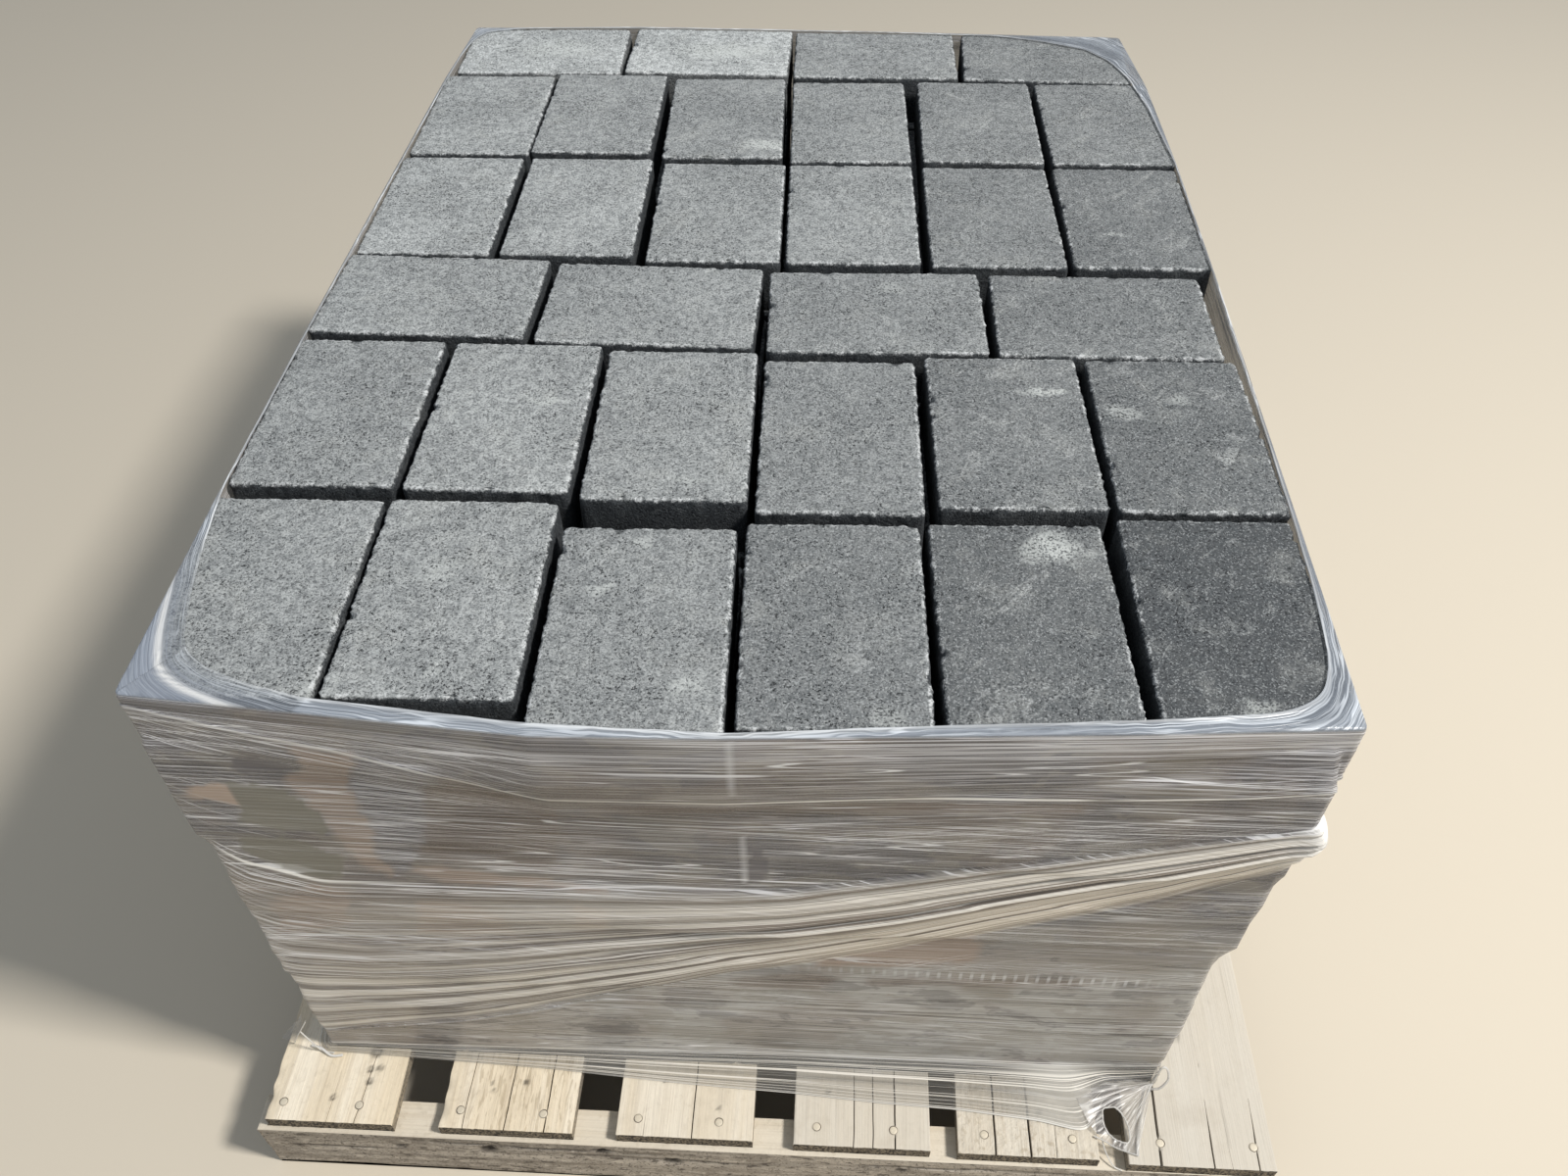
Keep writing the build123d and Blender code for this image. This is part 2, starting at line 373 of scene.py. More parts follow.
# Rings up a paver's side and over its edge: inset and height below the top, in mm,
# and how much of the roughness they get
FINE_RINGS = (
    (0.6, -60, 0.2), (0, -58.5, 0.5), (0, -38, 0.5), (0, -18, 0.5), (0, -8, 0.8),
    (0, -4, 1), (0.2, -1.8, 1.2), (1.2, -0.5, 1.2), (2.8, -0.1, 0.7), (4.4, 0, 0.2),
)
PLAIN_RINGS = ((0.6, -60, 0.2), (0, -58.5, 0.5), (0, -30, 0.4), (0, -3, 0.9), (2.4, -0.2, 0.5))
CAP_SHARES = (0.93, 0.5)
EDGE_ROUGHNESS = 1.7 * MM
# How far below the top the chips reach, in mm, and how wide they are, in mm
EDGE_REACH = 7
CHIP_SIZES = (2.5, 7.0)
CHIP_DEPTH = 3.0 * MM
# How much darker the pavers' sides are painted, as shade
SIDE_PAINTED_SHADE = 0.80
# Spacing of the points round a paver: the near and far half of the top, the rim below, hidden
NEAR_STEP, FAR_STEP, RIM_STEP, HIDDEN_STEP = 2.3 * MM, 3.0 * MM, 9 * MM, 80 * MM


def corners_of(node):
    """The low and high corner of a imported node's box."""
    return [np.array(corner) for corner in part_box(node)]


def solids_of(node):
    """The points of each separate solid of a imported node."""
    mesh = bmesh.new()
    mesh.from_mesh(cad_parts[node].data)
    bmesh.ops.remove_doubles(mesh, verts=mesh.verts, dist=0.00005)
    seen, groups = set(), []
    for start in mesh.verts:
        if start.index in seen:
            continue
        seen.add(start.index)
        queue, points = [start], []
        while queue:
            vert = queue.pop()
            points.append(vert.co[:])
            for edge in vert.link_edges:
                other = edge.other_vert(vert)
                if other.index not in seen:
                    seen.add(other.index)
                    queue.append(other)
        groups.append(np.array(points))
    mesh.free()
    return groups


def paver_places(node):
    """Centre, both axes, width, length and top of each paver of a layer."""
    places = []
    for points in solids_of(node):
        flat = points[:, :2]
        centre = (flat.max(0) + flat.min(0)) / 2
        around = flat - centre
        axes = np.linalg.eigh(around.T @ around)[1]
        long_axis = axes[:, 1] * (1 if axes[1, 1] > 0 else -1)
        side_axis = np.array((long_axis[1], -long_axis[0]))
        width, length = np.ptp(around @ side_axis), np.ptp(around @ long_axis)
        places.append((centre, side_axis, long_axis, width, length, points[:, 2].max()))
    return places


def rounded_rectangle(width, length, radius, step):
    """Points round a rounded rectangle, anticlockwise, with their outward normals."""
    points, normals = [], []
    half_x, half_y = width / 2 - radius, length / 2 - radius
    corners = (
        (half_x, -half_y, -90), (half_x, half_y, 0), (-half_x, half_y, 90), (-half_x, -half_y, 180),
    )
    arc_steps = max(2, round(radius * math.pi / 2 / step))
    for (*corner, first), (*following, _) in zip(corners, corners[1:] + corners[:1]):
        for i in range(arc_steps + 1):
            angle = math.radians(first + 90 * i / arc_steps)
            normal = np.array((math.cos(angle), math.sin(angle)))
            if i < arc_steps:
                points.append(np.array(corner) + radius * normal)
                normals.append(normal)
        start, end = np.array(corner) + radius * normal, np.array(following) + radius * normal
        count = max(1, round(np.linalg.norm(end - start) / step))
        points += [start + (end - start) * i / count for i in range(count)]
        normals += [normal] * count
    return np.array(points), np.array(normals)


def wobble(points, scale, seed):
    """Smooth noise from -1 to 1 at some points, one value each."""
    shift = Vector((seed * 3.17, seed * 1.31, seed * 0.77))
    return np.array([noise.noise(Vector(p) * scale + shift) for p in points])


def add_paver(mesh, place, rings, step, seed, tone, chips=3):
    """One paver with a gritty arris, small chips and a flat top."""
    centre, side_axis, long_axis, width, length, top = place
    outline, normals = rounded_rectangle(width, length, CORNER_RADIUS, step)
    count = len(outline)
    draw = np.random.default_rng(seed)
    chip_at = draw.integers(0, count, chips)
    chip_size = draw.uniform(*CHIP_SIZES, chips) * MM
    chip_share = np.zeros(count)
    for at, size in zip(chip_at, chip_size):
        away = np.linalg.norm(outline - outline[at], axis=1) / size
        chip_share = np.maximum(chip_share, np.clip(1 - away**2, 0, 1))
    points = []
    for inset, drop, share in rings:
        flat = outline - normals * inset * MM
        solid = np.column_stack((flat, np.full(count, top + drop * MM)))
        local = solid - (0, 0, top)
        grit = wobble(local, 330, seed + 11) * 0.9 + wobble(local, 110, seed + 5) * 0.45
        at_edge = drop > -10 and inset < 4
        edge = np.clip(1 - abs(drop) / EDGE_REACH, 0, 1) if at_edge else 0
        push = (grit - 0.35) * share * EDGE_ROUGHNESS - chip_share * CHIP_DEPTH * edge
        solid[:, :2] += normals * push[:, None]
        if share > 0.2 and drop > -3:
            lift = wobble(local, 380, seed + 23) * 0.45 * MM * share
            solid[:, 2] -= np.abs(lift + chip_share * CHIP_DEPTH * 0.5 * edge)
        points.append(solid)
    points = np.concatenate(points)
    turned = points.copy()
    turned[:, :2] = centre + points[:, :1] * side_axis + points[:, 1:2] * long_axis
    faces = ring_faces(len(rings), count)
    pairs = [(i, (i + 1) % count) for i in range(count)]
    for first, upward in (((len(rings) - 1) * count, True), (0, False)):
        rim, outer, cap = turned[first : first + count], first, []
        middle = rim.mean(0)
        for share in CAP_SHARES:
            inner = len(turned)
            turned = np.concatenate((turned, middle + (rim - middle) * share))
            cap += [(outer + i, outer + j, inner + j, inner + i) for i, j in pairs]
            outer = inner
        cap += [(outer + i, outer + j, len(turned)) for i, j in pairs]
        turned = np.concatenate((turned, [middle]))
        faces += cap if upward else [face[::-1] for face in cap]
    drops = np.zeros(len(turned))
    drops[: len(rings) * count] = np.repeat([drop for _, drop, _ in rings], count)
    # Points down the sides get a lower tone: painted shade
    mesh.add(turned, faces, np.clip(tone - SIDE_PAINTED_SHADE * (drops < -1), 0, 1))
    mesh.marks.setdefault("arris", []).extend((drops < 0) & (drops > -3))


def paver_tones(places, seed):
    """How light each paver of a layer is: the left ones and the two at the back are lighter."""
    draw = np.random.default_rng(seed).uniform(-0.09, 0.09, len(places))
    tones = []
    # Lighter to the left and towards the back, darker at the front right corner
    for (x, y), change in zip([place[0] for place in places], draw):
        tone = 0.38 + change - 0.72 * max(x, -0.28) - 0.9 * max(x - 0.12, 0) * (y < -0.35)
        tone += 0.13 * min(max(y + 0.2, 0) / 0.4, 1) + 0.08 * (y > -0.35)
        tone += 0.08 * (y > 0.5) + 0.5 * (y > 0.5 and x < 0)
        tones.append(0.118 + 0.753 * tone)
    return np.clip(tones, 0, 1)


def top_pavers(material):
    """The open top layer: the near half has finer edges than the far half."""
    places = paver_places(TOP_LAYER)
    tones = paver_tones(places, 7)
    near, far = Mesh(), Mesh()
    for number, place in enumerate(places):
        mesh, step = (near, NEAR_STEP) if place[0][1] < 0 else (far, FAR_STEP)
        add_paver(mesh, place, FINE_RINGS, step, 100 + number, tones[number])
    for mesh, name in ((near, "top_pavers_near"), (far, "top_pavers_far")):
        dress(mesh.piece(name), "paver_concrete", material, TOP_LAYER)


def lower_pavers(number, material):
    """One lower layer: the pavers at its rim have worked edges, the hidden ones are plain."""
    node = f"paver_layer_{number}"
    low, high = corners_of(node)
    mesh = Mesh()
    places = paver_places(node)
    tones = paver_tones(places, number)
    for index, place in enumerate(places):
        reach = np.abs(place[0] - (low + high)[:2] / 2) + 0.12
        at_rim = (reach > (high - low)[:2] / 2).any()
        step, chips = (RIM_STEP, 2) if at_rim else (HIDDEN_STEP, 0)
        add_paver(mesh, place, PLAIN_RINGS, step, 1000 * number + index, tones[index], chips)
    dress(mesh.piece(f"pavers_{number}"), "paver_concrete", material, node)


# Nails


def nail_spots():
    """Middle of each nail head and the height of its top."""
    nails = solids_of("deck_nails")
    return [(*((points.max(0) + points.min(0)) / 2)[:2], points[:, 2].max()) for points in nails]


NAIL_SPOTS = nail_spots()
NAIL_SIDES = 20
# Rings from the rim of the dent to the head's top: radius and height in mm, and tone, 0 where the dent
# is painted dark as shade
NAIL_PROFILE = (
    (4.7, 0.02, 1), (4.5, -0.02, 0), (3.95, -0.12, 0), (3.7, 0, 1), (3.4, 0.12, 1), (2, 0.18, 1),
)
NAIL_DOME = 0.24 * MM


def nail_heads(material):
    """Domed heads, each in the dent that it was driven into, the dent painted dark as shade."""
    mesh, sides = Mesh(), NAIL_SIDES
    for x, y, top in NAIL_SPOTS:
        points, tones = [], []
        for radius, lift, tone in NAIL_PROFILE:
            for i in range(sides):
                turn = 2 * math.pi * i / sides
                across, up = math.cos(turn), math.sin(turn)
                uneven = noise.noise((across * 2 + x * 90, up * 2 + y * 90, radius))
                size = radius * (1 + 0.05 * uneven) * MM
                points.append((x + size * across, y + size * up, top + lift * MM))
                # The dent's painted shade is lighter on one side of each head
                lit_side = 0.5 + 0.5 * math.cos(turn - 40 * x)
                tones.append(tone or 0.55 * lit_side**1.4)
        last, middle = len(points) - sides, len(points)
        points.append((x, y, top + NAIL_DOME))
        faces = ring_faces(len(NAIL_PROFILE), sides)
        faces += [(last + i, last + (i + 1) % sides, middle) for i in range(sides)]
        mesh.add(np.array(points), faces, tones + [1])
    dress(mesh.piece("nail_heads"), "nail_steel", material, "deck_nails")


# Wood

# Cracks in the front end of each board, in mm: x and y of both ends, and width
BOARD_CRACKS = (
    ((-419, -649, -412, -560, 1), (-498, -655, -497, -625, 0.8), (-448, -655, -447, -600, 0.6)),
    ((-306, -650, -305, -540, 1), (-263, -656, -260, -500, 1.4), (-221, -656, -221, -500, 1.6)),
    ((-68, -657, -68, -530, 1.3), (-118, -655, -118, -620, 0.6)),
    ((98, -652, 98.5, -560, 1), (118, -655, 118, -560, 1.1), (141, -655, 140, -550, 1.6)),
    ((243, -656, 243, -540, 2), (279, -656, 277, -540, 2.2), (305, -655, 305, -600, 0.7)),
    (
        (408, -660, 412, -540, 3.2), (462, -656, 464, -590, 1.6), (507, -656, 510, -588, 1.5),
        (480, -655, 480, -640, 0.8),
    ),
)
# Knots of each board, in mm: x, y and radius
BOARD_KNOTS = (
    ((-448, -629, 2.6), (-417, -598, 3), (-407, -596, 3), (-414, -611, 3), (-416, -579, 5)),
    ((-248, -604, 2.8), (-281, -615, 2), (-284, -606, 1.6)),
    ((-42, -622, 2), (-101, -596, 1.4)),
    ((70, -600, 2),),
    ((290, -610, 3),),
    ((445, -520, 4), (455, -480, 3.5), (452, -500, 2)),
)
# How rough and how grey each board is, how deep its left edge is torn, in mm, and where
# waves of raised grain begin
BOARD_ROUGHNESS = (0.30, 0.32, 0.25, 0.20, 0.95, 0.12)
BOARD_GREYNESS = (0.05, 0.10, 0.45, 0.85, 0.75, 0.95)
TORN_EDGE = (7.0, 3.0, 0.5, 0.5, 0.5, 0.5)
WAVY_BOARD, WAVY_FROM, WAVY_SHARE = 2, -0.302, 0.42
# Torn spots on the front stringer's face, in mm: x, height and radius
STRINGER_KNOTS = (
    (-285, 60, 11), (-163, 71, 9), (-90, 52, 10), (-380, 58, 5), (150, 60, 5), (330, 50, 6),
)
# Its long splits, in mm: x of both ends, height, and rise
STRINGER_SPLITS = (
    (-370, -100, 76, -8), (-220, 20, 58, -4), (100, 360, 68, 3), (-500, -400, 50, 2),
)
# Edges sharper than this stay sharp, and points this near to a face lie on it
SHARP_ANGLE = math.radians(50)
TOUCHING = 1e-5
# Depths of cracks, splits and torn spots, and of the boards' tops below the nail heads
CRACK_DEPTH, SPLIT_DEPTH, TORN_DEPTH, NAIL_DENT = 6 * MM, 4 * MM, 5 * MM, 0.35 * MM
# Spacing of the points across the boards, along and up the stringers' front face, and elsewhere
BOARD_STEP, FACE_STEP, FACE_ROW_STEP, PLAIN_STEP = 3 * MM, 5 * MM, 3.6 * MM, 40 * MM


def spread(low, high, step, extra=()):
    """Evenly spaced values with finer ones at both ends, and some extra ones."""
    ends = np.array((0, 0.7, 1.6, 2.8)) * MM
    middle = np.linspace(low + 4.5 * MM, high - 4.5 * MM, max(2, round((high - low) / step)))
    values = np.concatenate((low + ends, middle, high - ends))
    for value in extra:
        values = values[np.abs(values - value) > 0.8 * MM]
    return np.sort(np.concatenate((values, extra)))


class Shell:
    """The skin of a block, on a lattice of three lists of places."""

    def __init__(self, *lists):
        self.lists = lists
        self.numbers, self.keys, self.faces = {}, [], []
        counts = [len(values) - 1 for values in lists]
        for axis in range(3):
            a, b = [other for other in range(3) if other != axis]
            for end in (0, counts[axis]):
                for i in range(counts[a]):
                    for j in range(counts[b]):
                        face = []
                        for di, dj in ((0, 0), (1, 0), (1, 1), (0, 1)):
                            key = [0, 0, 0]
                            key[axis], key[a], key[b] = end, i + di, j + dj
                            face.append(self.number(tuple(key)))
                        outward = (end > 0) != (axis == 1)
                        self.faces.append(face if outward else face[::-1])

    def number(self, key):
        if key not in self.numbers:
            self.numbers[key] = len(self.keys)
            self.keys.append(key)
        return self.numbers[key]

    def points(self):
        return np.array([[values[i] for values, i in zip(self.lists, key)] for key in self.keys])


def grain(points, across, along, axis, seed):
    """Noise drawn out along a piece's length."""
    scale = np.full(3, float(across))
    scale[axis] = along
    shift = Vector((seed * 1.7, seed * 0.9, seed * 2.3))
    return np.array([noise.noise(Vector(p * scale) + shift) for p in points])


def weather(points, low, high, axis, seed, rough):
    """Round a block's long edges and ends, and give it saw marks and raised grain."""
    lines = grain(points, 330, 9, axis, seed)
    broad = grain(points, 60, 5, axis, seed + 3)
    chips = grain(points, 120, 95, axis, seed + 5)
    fibres = grain(points, 420, 60, 2, seed + 7)
    moved = points.copy()
    top_share = np.clip((points[:, 2] - high[2] + 5 * MM) / (5 * MM), 0, 1)
    side, middle = 1 - axis, (low + high) / 2
    edges = [np.minimum(points[:, k] - low[k], high[k] - points[:, k]) for k in (side, axis)]
    from_side, from_end = edges
    radius = (2.2 + broad * 1.2) * MM
    for away in edges:
        share = np.clip(1 - away / radius, 0, 1)
        moved[:, 2] -= top_share * radius * 0.8 * (1 - np.sqrt(np.clip(1 - share**2, 0, 1)))
    relief = 0.12 + 0.35 * np.abs(lines) + rough * 1.4 * np.abs(chips)
    relief = relief * MM * np.clip(from_side / (3 * MM), 0, 1)
    moved[:, 2] -= np.where(points[:, 2] > high[2] - TOUCHING, relief, 0)
    at_side, at_end = from_side < TOUCHING, from_end < TOUCHING
    inward = np.sign(middle[side] - points[:, side])
    moved[:, side] += at_side * inward * (0.5 + 0.6 * lines + 0.5 * broad) * MM
    inward = np.sign(middle[axis] - points[:, axis])
    moved[:, axis] += at_end * inward * (0.9 + 1.0 * fibres + 0.5 * broad) * MM
    return moved, at_end


def deck_board(number, material):
    """One deck board: worn edges, cracked front end, knots and dents round its nails."""
    node = f"deck_board_{number}"
    low, high = corners_of(node)
    tables = (BOARD_CRACKS, BOARD_KNOTS, BOARD_ROUGHNESS, BOARD_GREYNESS, TORN_EDGE)
    cracks, knots, roughness, greyness, torn = (table[number - 1] for table in tables)
    middles = [(crack[0] + crack[2]) / 2 * MM for crack in cracks]
    sides = [crack[4] * 0.55 * MM for crack in cracks]
    extra = [x + offset for x, side in zip(middles, sides) for offset in (-side, 0, side)]
    xs = spread(low[0], high[0], BOARD_STEP, extra)
    ys = np.concatenate((
        low[1] + np.array((0, 0.7, 1.6)) * MM,
        np.arange(low[1] + 3 * MM, low[1] + 0.13, 2.6 * MM),
        np.arange(low[1] + 0.14, high[1] - 0.05, 0.03),
        high[1] - np.array((20, 8, 3, 1.2, 0)) * MM,
    ))
    bottom, top = low[2], high[2]
    zs = (bottom, bottom + 3 * MM, (bottom + top) / 2, top - 4 * MM, top - 1.2 * MM, top)
    shell = Shell(xs, ys, zs)
    points = shell.points()
    x_at, y_at, z_at = points.T
    moved, at_end = weather(points, low, high, 1, number * 11, roughness)
    is_top, is_raised = z_at > high[2] - TOUCHING, z_at > low[2] + 2 * MM
    # Dark marks: shade painted into the cracks and the torn left edge, and the dark rings of knots
    dirt = np.zeros(len(points))
    for middle, crack in zip(middles, cracks):
        x0, y0, x1, y1 = (value * MM for value in crack[:4])
        width, off = crack[4], np.abs(x_at - middle)
        share = np.clip((y_at - y0) / (y1 - y0), 0, 1)
        close = np.clip(1 - off / (9 * MM), 0, 1)
        wander = grain(points, 3, 35, 1, number * 5 + width) * 0.8 * MM
        shift = x0 + (x1 - x0) * share - middle + wander
        moved[:, 0] += close * shift
        inside = (y_at <= y1) & (y_at >= y0 - 12 * MM)
        taper = np.clip((y1 - y_at) / (40 * MM), 0.25, 1)
        groove = (off < 0.05 * MM) & inside & is_top
        moved[groove, 2] -= CRACK_DEPTH
        dirt = np.maximum(dirt, groove)
        near = off < width * MM * 0.6
        squeezed = middle + close * shift + (x_at - middle) * np.where(inside, taper, 0.15)
        moved[:, 0] = np.where(near, squeezed, moved[:, 0])
    for x, y, size in knots:
        away = np.hypot(x_at - x * MM, y_at - y * MM) / (size * MM)
        dirt = np.maximum(dirt, is_top * 0.75 * np.exp(-((away - 0.8) ** 2) * 4))
        moved[:, 2] -= is_top * 0.8 * MM * np.exp(-(away**2))
    for x, y, _ in NAIL_SPOTS:
        away = np.hypot(x_at - x, y_at - y) / MM
        flat = np.clip(1 - (away - 5) / 4, 0, 1) * is_top
        moved[:, 2] = moved[:, 2] * (1 - flat) + (high[2] - NAIL_DENT) * flat
    edge = np.clip(1 - (x_at - low[0]) / (12 * MM), 0, 1)
    edge = edge * np.clip(1.2 - (y_at - low[1]) / 0.10, 0, 1)
    bite = np.clip(0.35 + grain(points, 0, 55, 1, number) * 0.9, 0, 1)
    moved[:, 0] += edge * torn * MM * bite * is_raised
    # Shade painted into the torn left edge
    dirt = np.maximum(dirt, edge * bite * 0.8 * (torn > 1))
    piece = add_mesh(f"board_{number}", moved, shell.faces)
    piece.data.set_sharp_from_angle(angle=SHARP_ANGLE)
    # wood_end: end grain, darker partly as painted shade, and the flanks below the top, painted darker
    # as shade
    flank = (moved[:, 2] < high[2] - 4 * MM) & ~at_end
    end = np.where(at_end, np.where(is_top, 0.75, 1), np.where(flank, 0.75, 0))
    wave = np.where((number == WAVY_BOARD) & (x_at > WAVY_FROM), WAVY_SHARE, roughness * 0.2)
    add_marks(piece, wood_end=end, wood_dirt=dirt, wood_wave=wave)
    add_marks(piece, wood_grey=greyness, wood_rough=roughness)
    dress(piece, "deck_wood", material, node)


def stringer(name, material):
    """A board on edge under the deck, with splits and torn knots in its long faces."""
    low, high = corners_of(name)
    is_front = name == "stringer_front"
    xs = spread(low[0], high[0], FACE_STEP if is_front else PLAIN_STEP)
    near, far = np.array((0, 0.8, 2, 5, 12)) * MM, np.array((12, 3, 1, 0)) * MM
    ys = np.concatenate((low[1] + near, high[1] - far))
    zs = spread(low[2], high[2], FACE_ROW_STEP if is_front else PLAIN_STEP)
    shell = Shell(xs, ys, zs)
    points = shell.points()
    x_at, y_at, z_at = points.T
    moved, at_end = weather(points, low, high, 0, 77 + len(name), 0.15)
    # Dark marks: shade painted round the torn spots and into the splits
    dirt = np.zeros(len(points))
    on_face = y_at < low[1] + TOUCHING
    moved[:, 1] += on_face * (0.5 + np.abs(grain(points, 150, 12, 0, 31)) * 1.2) * MM
    moved[:, 1] += on_face * np.clip(1 - (z_at - low[2]) / (3 * MM), 0, 1) * 1.5 * MM
    if is_front:
        for x, z, size in STRINGER_KNOTS:
            away = np.hypot(x_at - x * MM, (z_at - z * MM) * 1.6) / (size * MM)
            ragged = away * (1 + 0.5 * grain(points, 160, 160, 0, 41))
            moved[:, 1] += on_face * np.exp(-(ragged**2)) * TORN_DEPTH
            dirt = np.maximum(dirt, on_face * np.exp(-((ragged - 0.5) ** 2) * 3))
        for split in STRINGER_SPLITS:
            x0, x1, z, rise = (value * MM for value in split)
            share = np.clip((x_at - x0) / (x1 - x0), 0, 1)
            line = z + rise * share + grain(points, 0, 22, 0, x0) * 3 * MM
            inside = np.sin(math.pi * share) ** 0.4
            groove = np.clip(1 - np.abs(z_at - line) / (2.6 * MM), 0, 1) * inside
            moved[:, 1] += on_face * groove * SPLIT_DEPTH
            dirt = np.maximum(dirt, on_face * groove)
    piece = add_mesh(name + "_wood", moved, shell.faces)
    piece.data.set_sharp_from_angle(angle=SHARP_ANGLE)
    face = (1 - np.clip((y_at - low[1]) / MM, 0, 1)) * is_front
    # Through wood_end the front stringer's hidden faces and all of the other stringers are painted dark
    # as shade; the ends are end grain
    hidden = (y_at > low[1] + 14 * MM) * (z_at < high[2] - MM) if is_front else 1
    end = np.maximum(at_end * 0.8, hidden * 0.85)
    add_marks(piece, wood_end=end, wood_face=face, wood_dirt=dirt, wood_grey=0.45, wood_rough=0.4)
    dress(piece, "stringer_wood", material, name)


def wood(name, axis, pale, warm):
    """Sun-bleached softwood: fine grain, grey weathering and dark knots, with shade painted into
    cracks, splits and torn spots and onto flanks and hidden faces, and a shaded copy of the colour for
    the stringer's front face.
    """
    g = Graph(name)
    keys = ("end", "dirt", "grey", "rough", "face", "wave")
    end, dirt, grey, rough, face, wave = (g.attribute(f"wood_{key}") for key in keys)

    def drawn(across, along, shift=(0, 0, 0)):
        """A place drawn out along the grain."""
        return g.scaled((along, across, across) if axis == "x" else (across, along, across), shift)

    lines = g.noise(drawn(110, 3), 1, 4, 0.6, 0.3)
    rings = g.noise(drawn(34, 1.6, (0.4, 0.2, 0.1)), 1, 3, 0.5, 0.6)
    hairs = g.noise(drawn(620, 12), 1, 2, 0.6)
    waves = g.noise(drawn(330, 38, (0.7, 0.1, 0.5)), 1, 2, 0.5, 0.9)
    flakes = g.noise(drawn(150, 60, (0.3, 0.6, 0.2)), 1, 4, 0.65, 0.5)
    stain = g.noise(g.place, 22, 4, 0.6)
    grit = g.noise(g.place, 420, 2, 0.6)
    chips = g.noise(g.place, 130, 3, 0.6)

    worn = rough.span(0.1, 0.9, 0.35, 1)
    shaded = g.coats(
        g.mix(lines.span(0.35, 0.65), (192, 182, 168), (152, 143, 131)),
        (grit.span(0.54, 0.66, 0, 0.80), (82, 75, 66)),
        (stain.span(0.45, 0.7, 0, 0.5), (122, 112, 100)),
        (flakes.span(0.57, 0.63, 0, 0.75), (70, 62, 54)),
        (flakes.span(0.36, 0.42, 0.60, 0), (212, 202, 186)),
    )
    colour = g.coats(
        g.mix(rings.span(0.35, 0.65), pale, warm),
        (lines.span(0.48, 0.70, 0, 0.6) * worn, (178, 158, 130)),
        (hairs.span(0.50, 0.72, 0, 0.45) * worn, (146, 130, 108)),
        (grey * 0.8, (194, 189, 179)),
        (chips.span(0.55, 0.7) * (rough * 0.5), (160, 146, 122)),
        (stain.span(0.55, 0.75, 0, 0.25), (168, 156, 138)),
        (waves.span(0.52, 0.62) * wave, (156, 138, 108)),
        (face, shaded),
        # End grain, darker partly as painted shade, and painted shade on flanks and hidden faces
        (end, g.mix(grit.span(0.4, 0.6), (54, 48, 42), (136, 124, 105))),
        # Shade painted into cracks, splits and torn spots, and the dark rings of knots
        (dirt, (38, 30, 24)),
    )
    height = hairs * 0.5 + lines * 0.5 + grit * end * 1.5 + chips * rough * 2.2
    return g.finish(colour, 0.85, g.bump(height, 0.7, 0.0013))


# Stretch film

FILM_GAP = 1 * MM
# How far the film falls in towards a narrower layer, for each metre away from a wider one
FILM_SLOPE = 0.30
CENTRE = np.array((-0.012, 0.028))

# The wall's corners, anticlockwise from the front left, the spacing of its columns on each
# side, and how far from a corner its first columns lie, all in mm
WALL_CORNERS = ((-466, -577), (440, -568), (431, 632), (-465, 631))
COLUMN_STEPS = (4.6, 18, 24, 18)
CORNER_STEPS = (0, 1.5, 3, 4.5, 6.5, 9, 13, 18)
# A place round the load is its station: 0 to 1 along the front from left to right, 1 to 2 up
# the right side, and so on. A place down the wall is its level: 0 at the rim, 1 to 5 at the
# guide lines and 6 on the deck. The band lies between levels 2 and 3.
FRONT_LEFT, FRONT_RIGHT = -466, 440
BAND_TOP, BAND_FOOT, LOW_LINE, ROPE = 2, 3, 4, 5
# Guide lines from the top down: x and height on the front, then station and height, in mm
GUIDES = (
    (
        (
            (-463, 696), (-363, 675.5), (-303, 667), (-211, 643), (-159, 618), (-20, 613.4),
            (90, 620.7), (213, 624.9), (277, 628), (364, 636), (421, 646), (440, 648),
        ),
        ((1.3, 640), (1.7, 625), (2, 640), (2.5, 615), (3, 650), (3.4, 640), (3.8, 670)),
    ),
    (
        (
            (-466, 520), (-442.5, 488), (-374.5, 460.5), (-309, 462.3), (-277, 461.5), (-130, 464.8),
            (-26, 468), (26, 475.2), (128, 505), (225, 536.8), (332, 570.5), (432, 599.9),
        ),
        ((1, 606), (1.15, 600), (1.5, 560), (2, 520), (2.5, 500), (3, 520), (3.5, 540), (3.9, 530)),
    ),
    (
        (
            (-466, 149), (-458.8, 149), (-396, 171), (-308, 193.4), (-230, 223.2), (-165, 254.1),
            (-88, 289.7), (-31, 318.6), (45, 345.7), (119.5, 376.4), (206, 425.1), (276, 460),
            (333.5, 489.7), (405, 536.9), (440, 566),
        ),
        ((1, 575), (1.15, 530), (1.5, 380), (2, 300), (2.5, 250), (3, 210), (3.5, 170), (3.9, 150)),
    ),
    (
        (
            (-466, 146), (-396, 166), (-308, 188), (-230, 218), (-185, 240), (-154.6, 250.5),
            (23.8, 244.6), (116, 236.5), (284, 224.9), (406.5, 224.1), (440, 226),
        ),
        ((1.2, 225), (1.6, 215), (2, 210), (2.6, 200), (3, 190), (3.6, 160), (3.9, 147)),
    ),
    (
        (
            (-466, 119), (-444, 121.4), (-341.6, 124.8), (-179, 132.1), (23.5, 143.9), (201.8, 146.1),
            (372.5, 150.1), (404, 153.5), (440, 154.5),
        ),
        ((1.2, 150), (1.6, 140), (2, 140), (2.6, 135), (3, 130), (3.6, 125), (3.9, 120)),
    ),
)
GUIDE_ROWS = (26, 42, 50, 30, 24, 22)
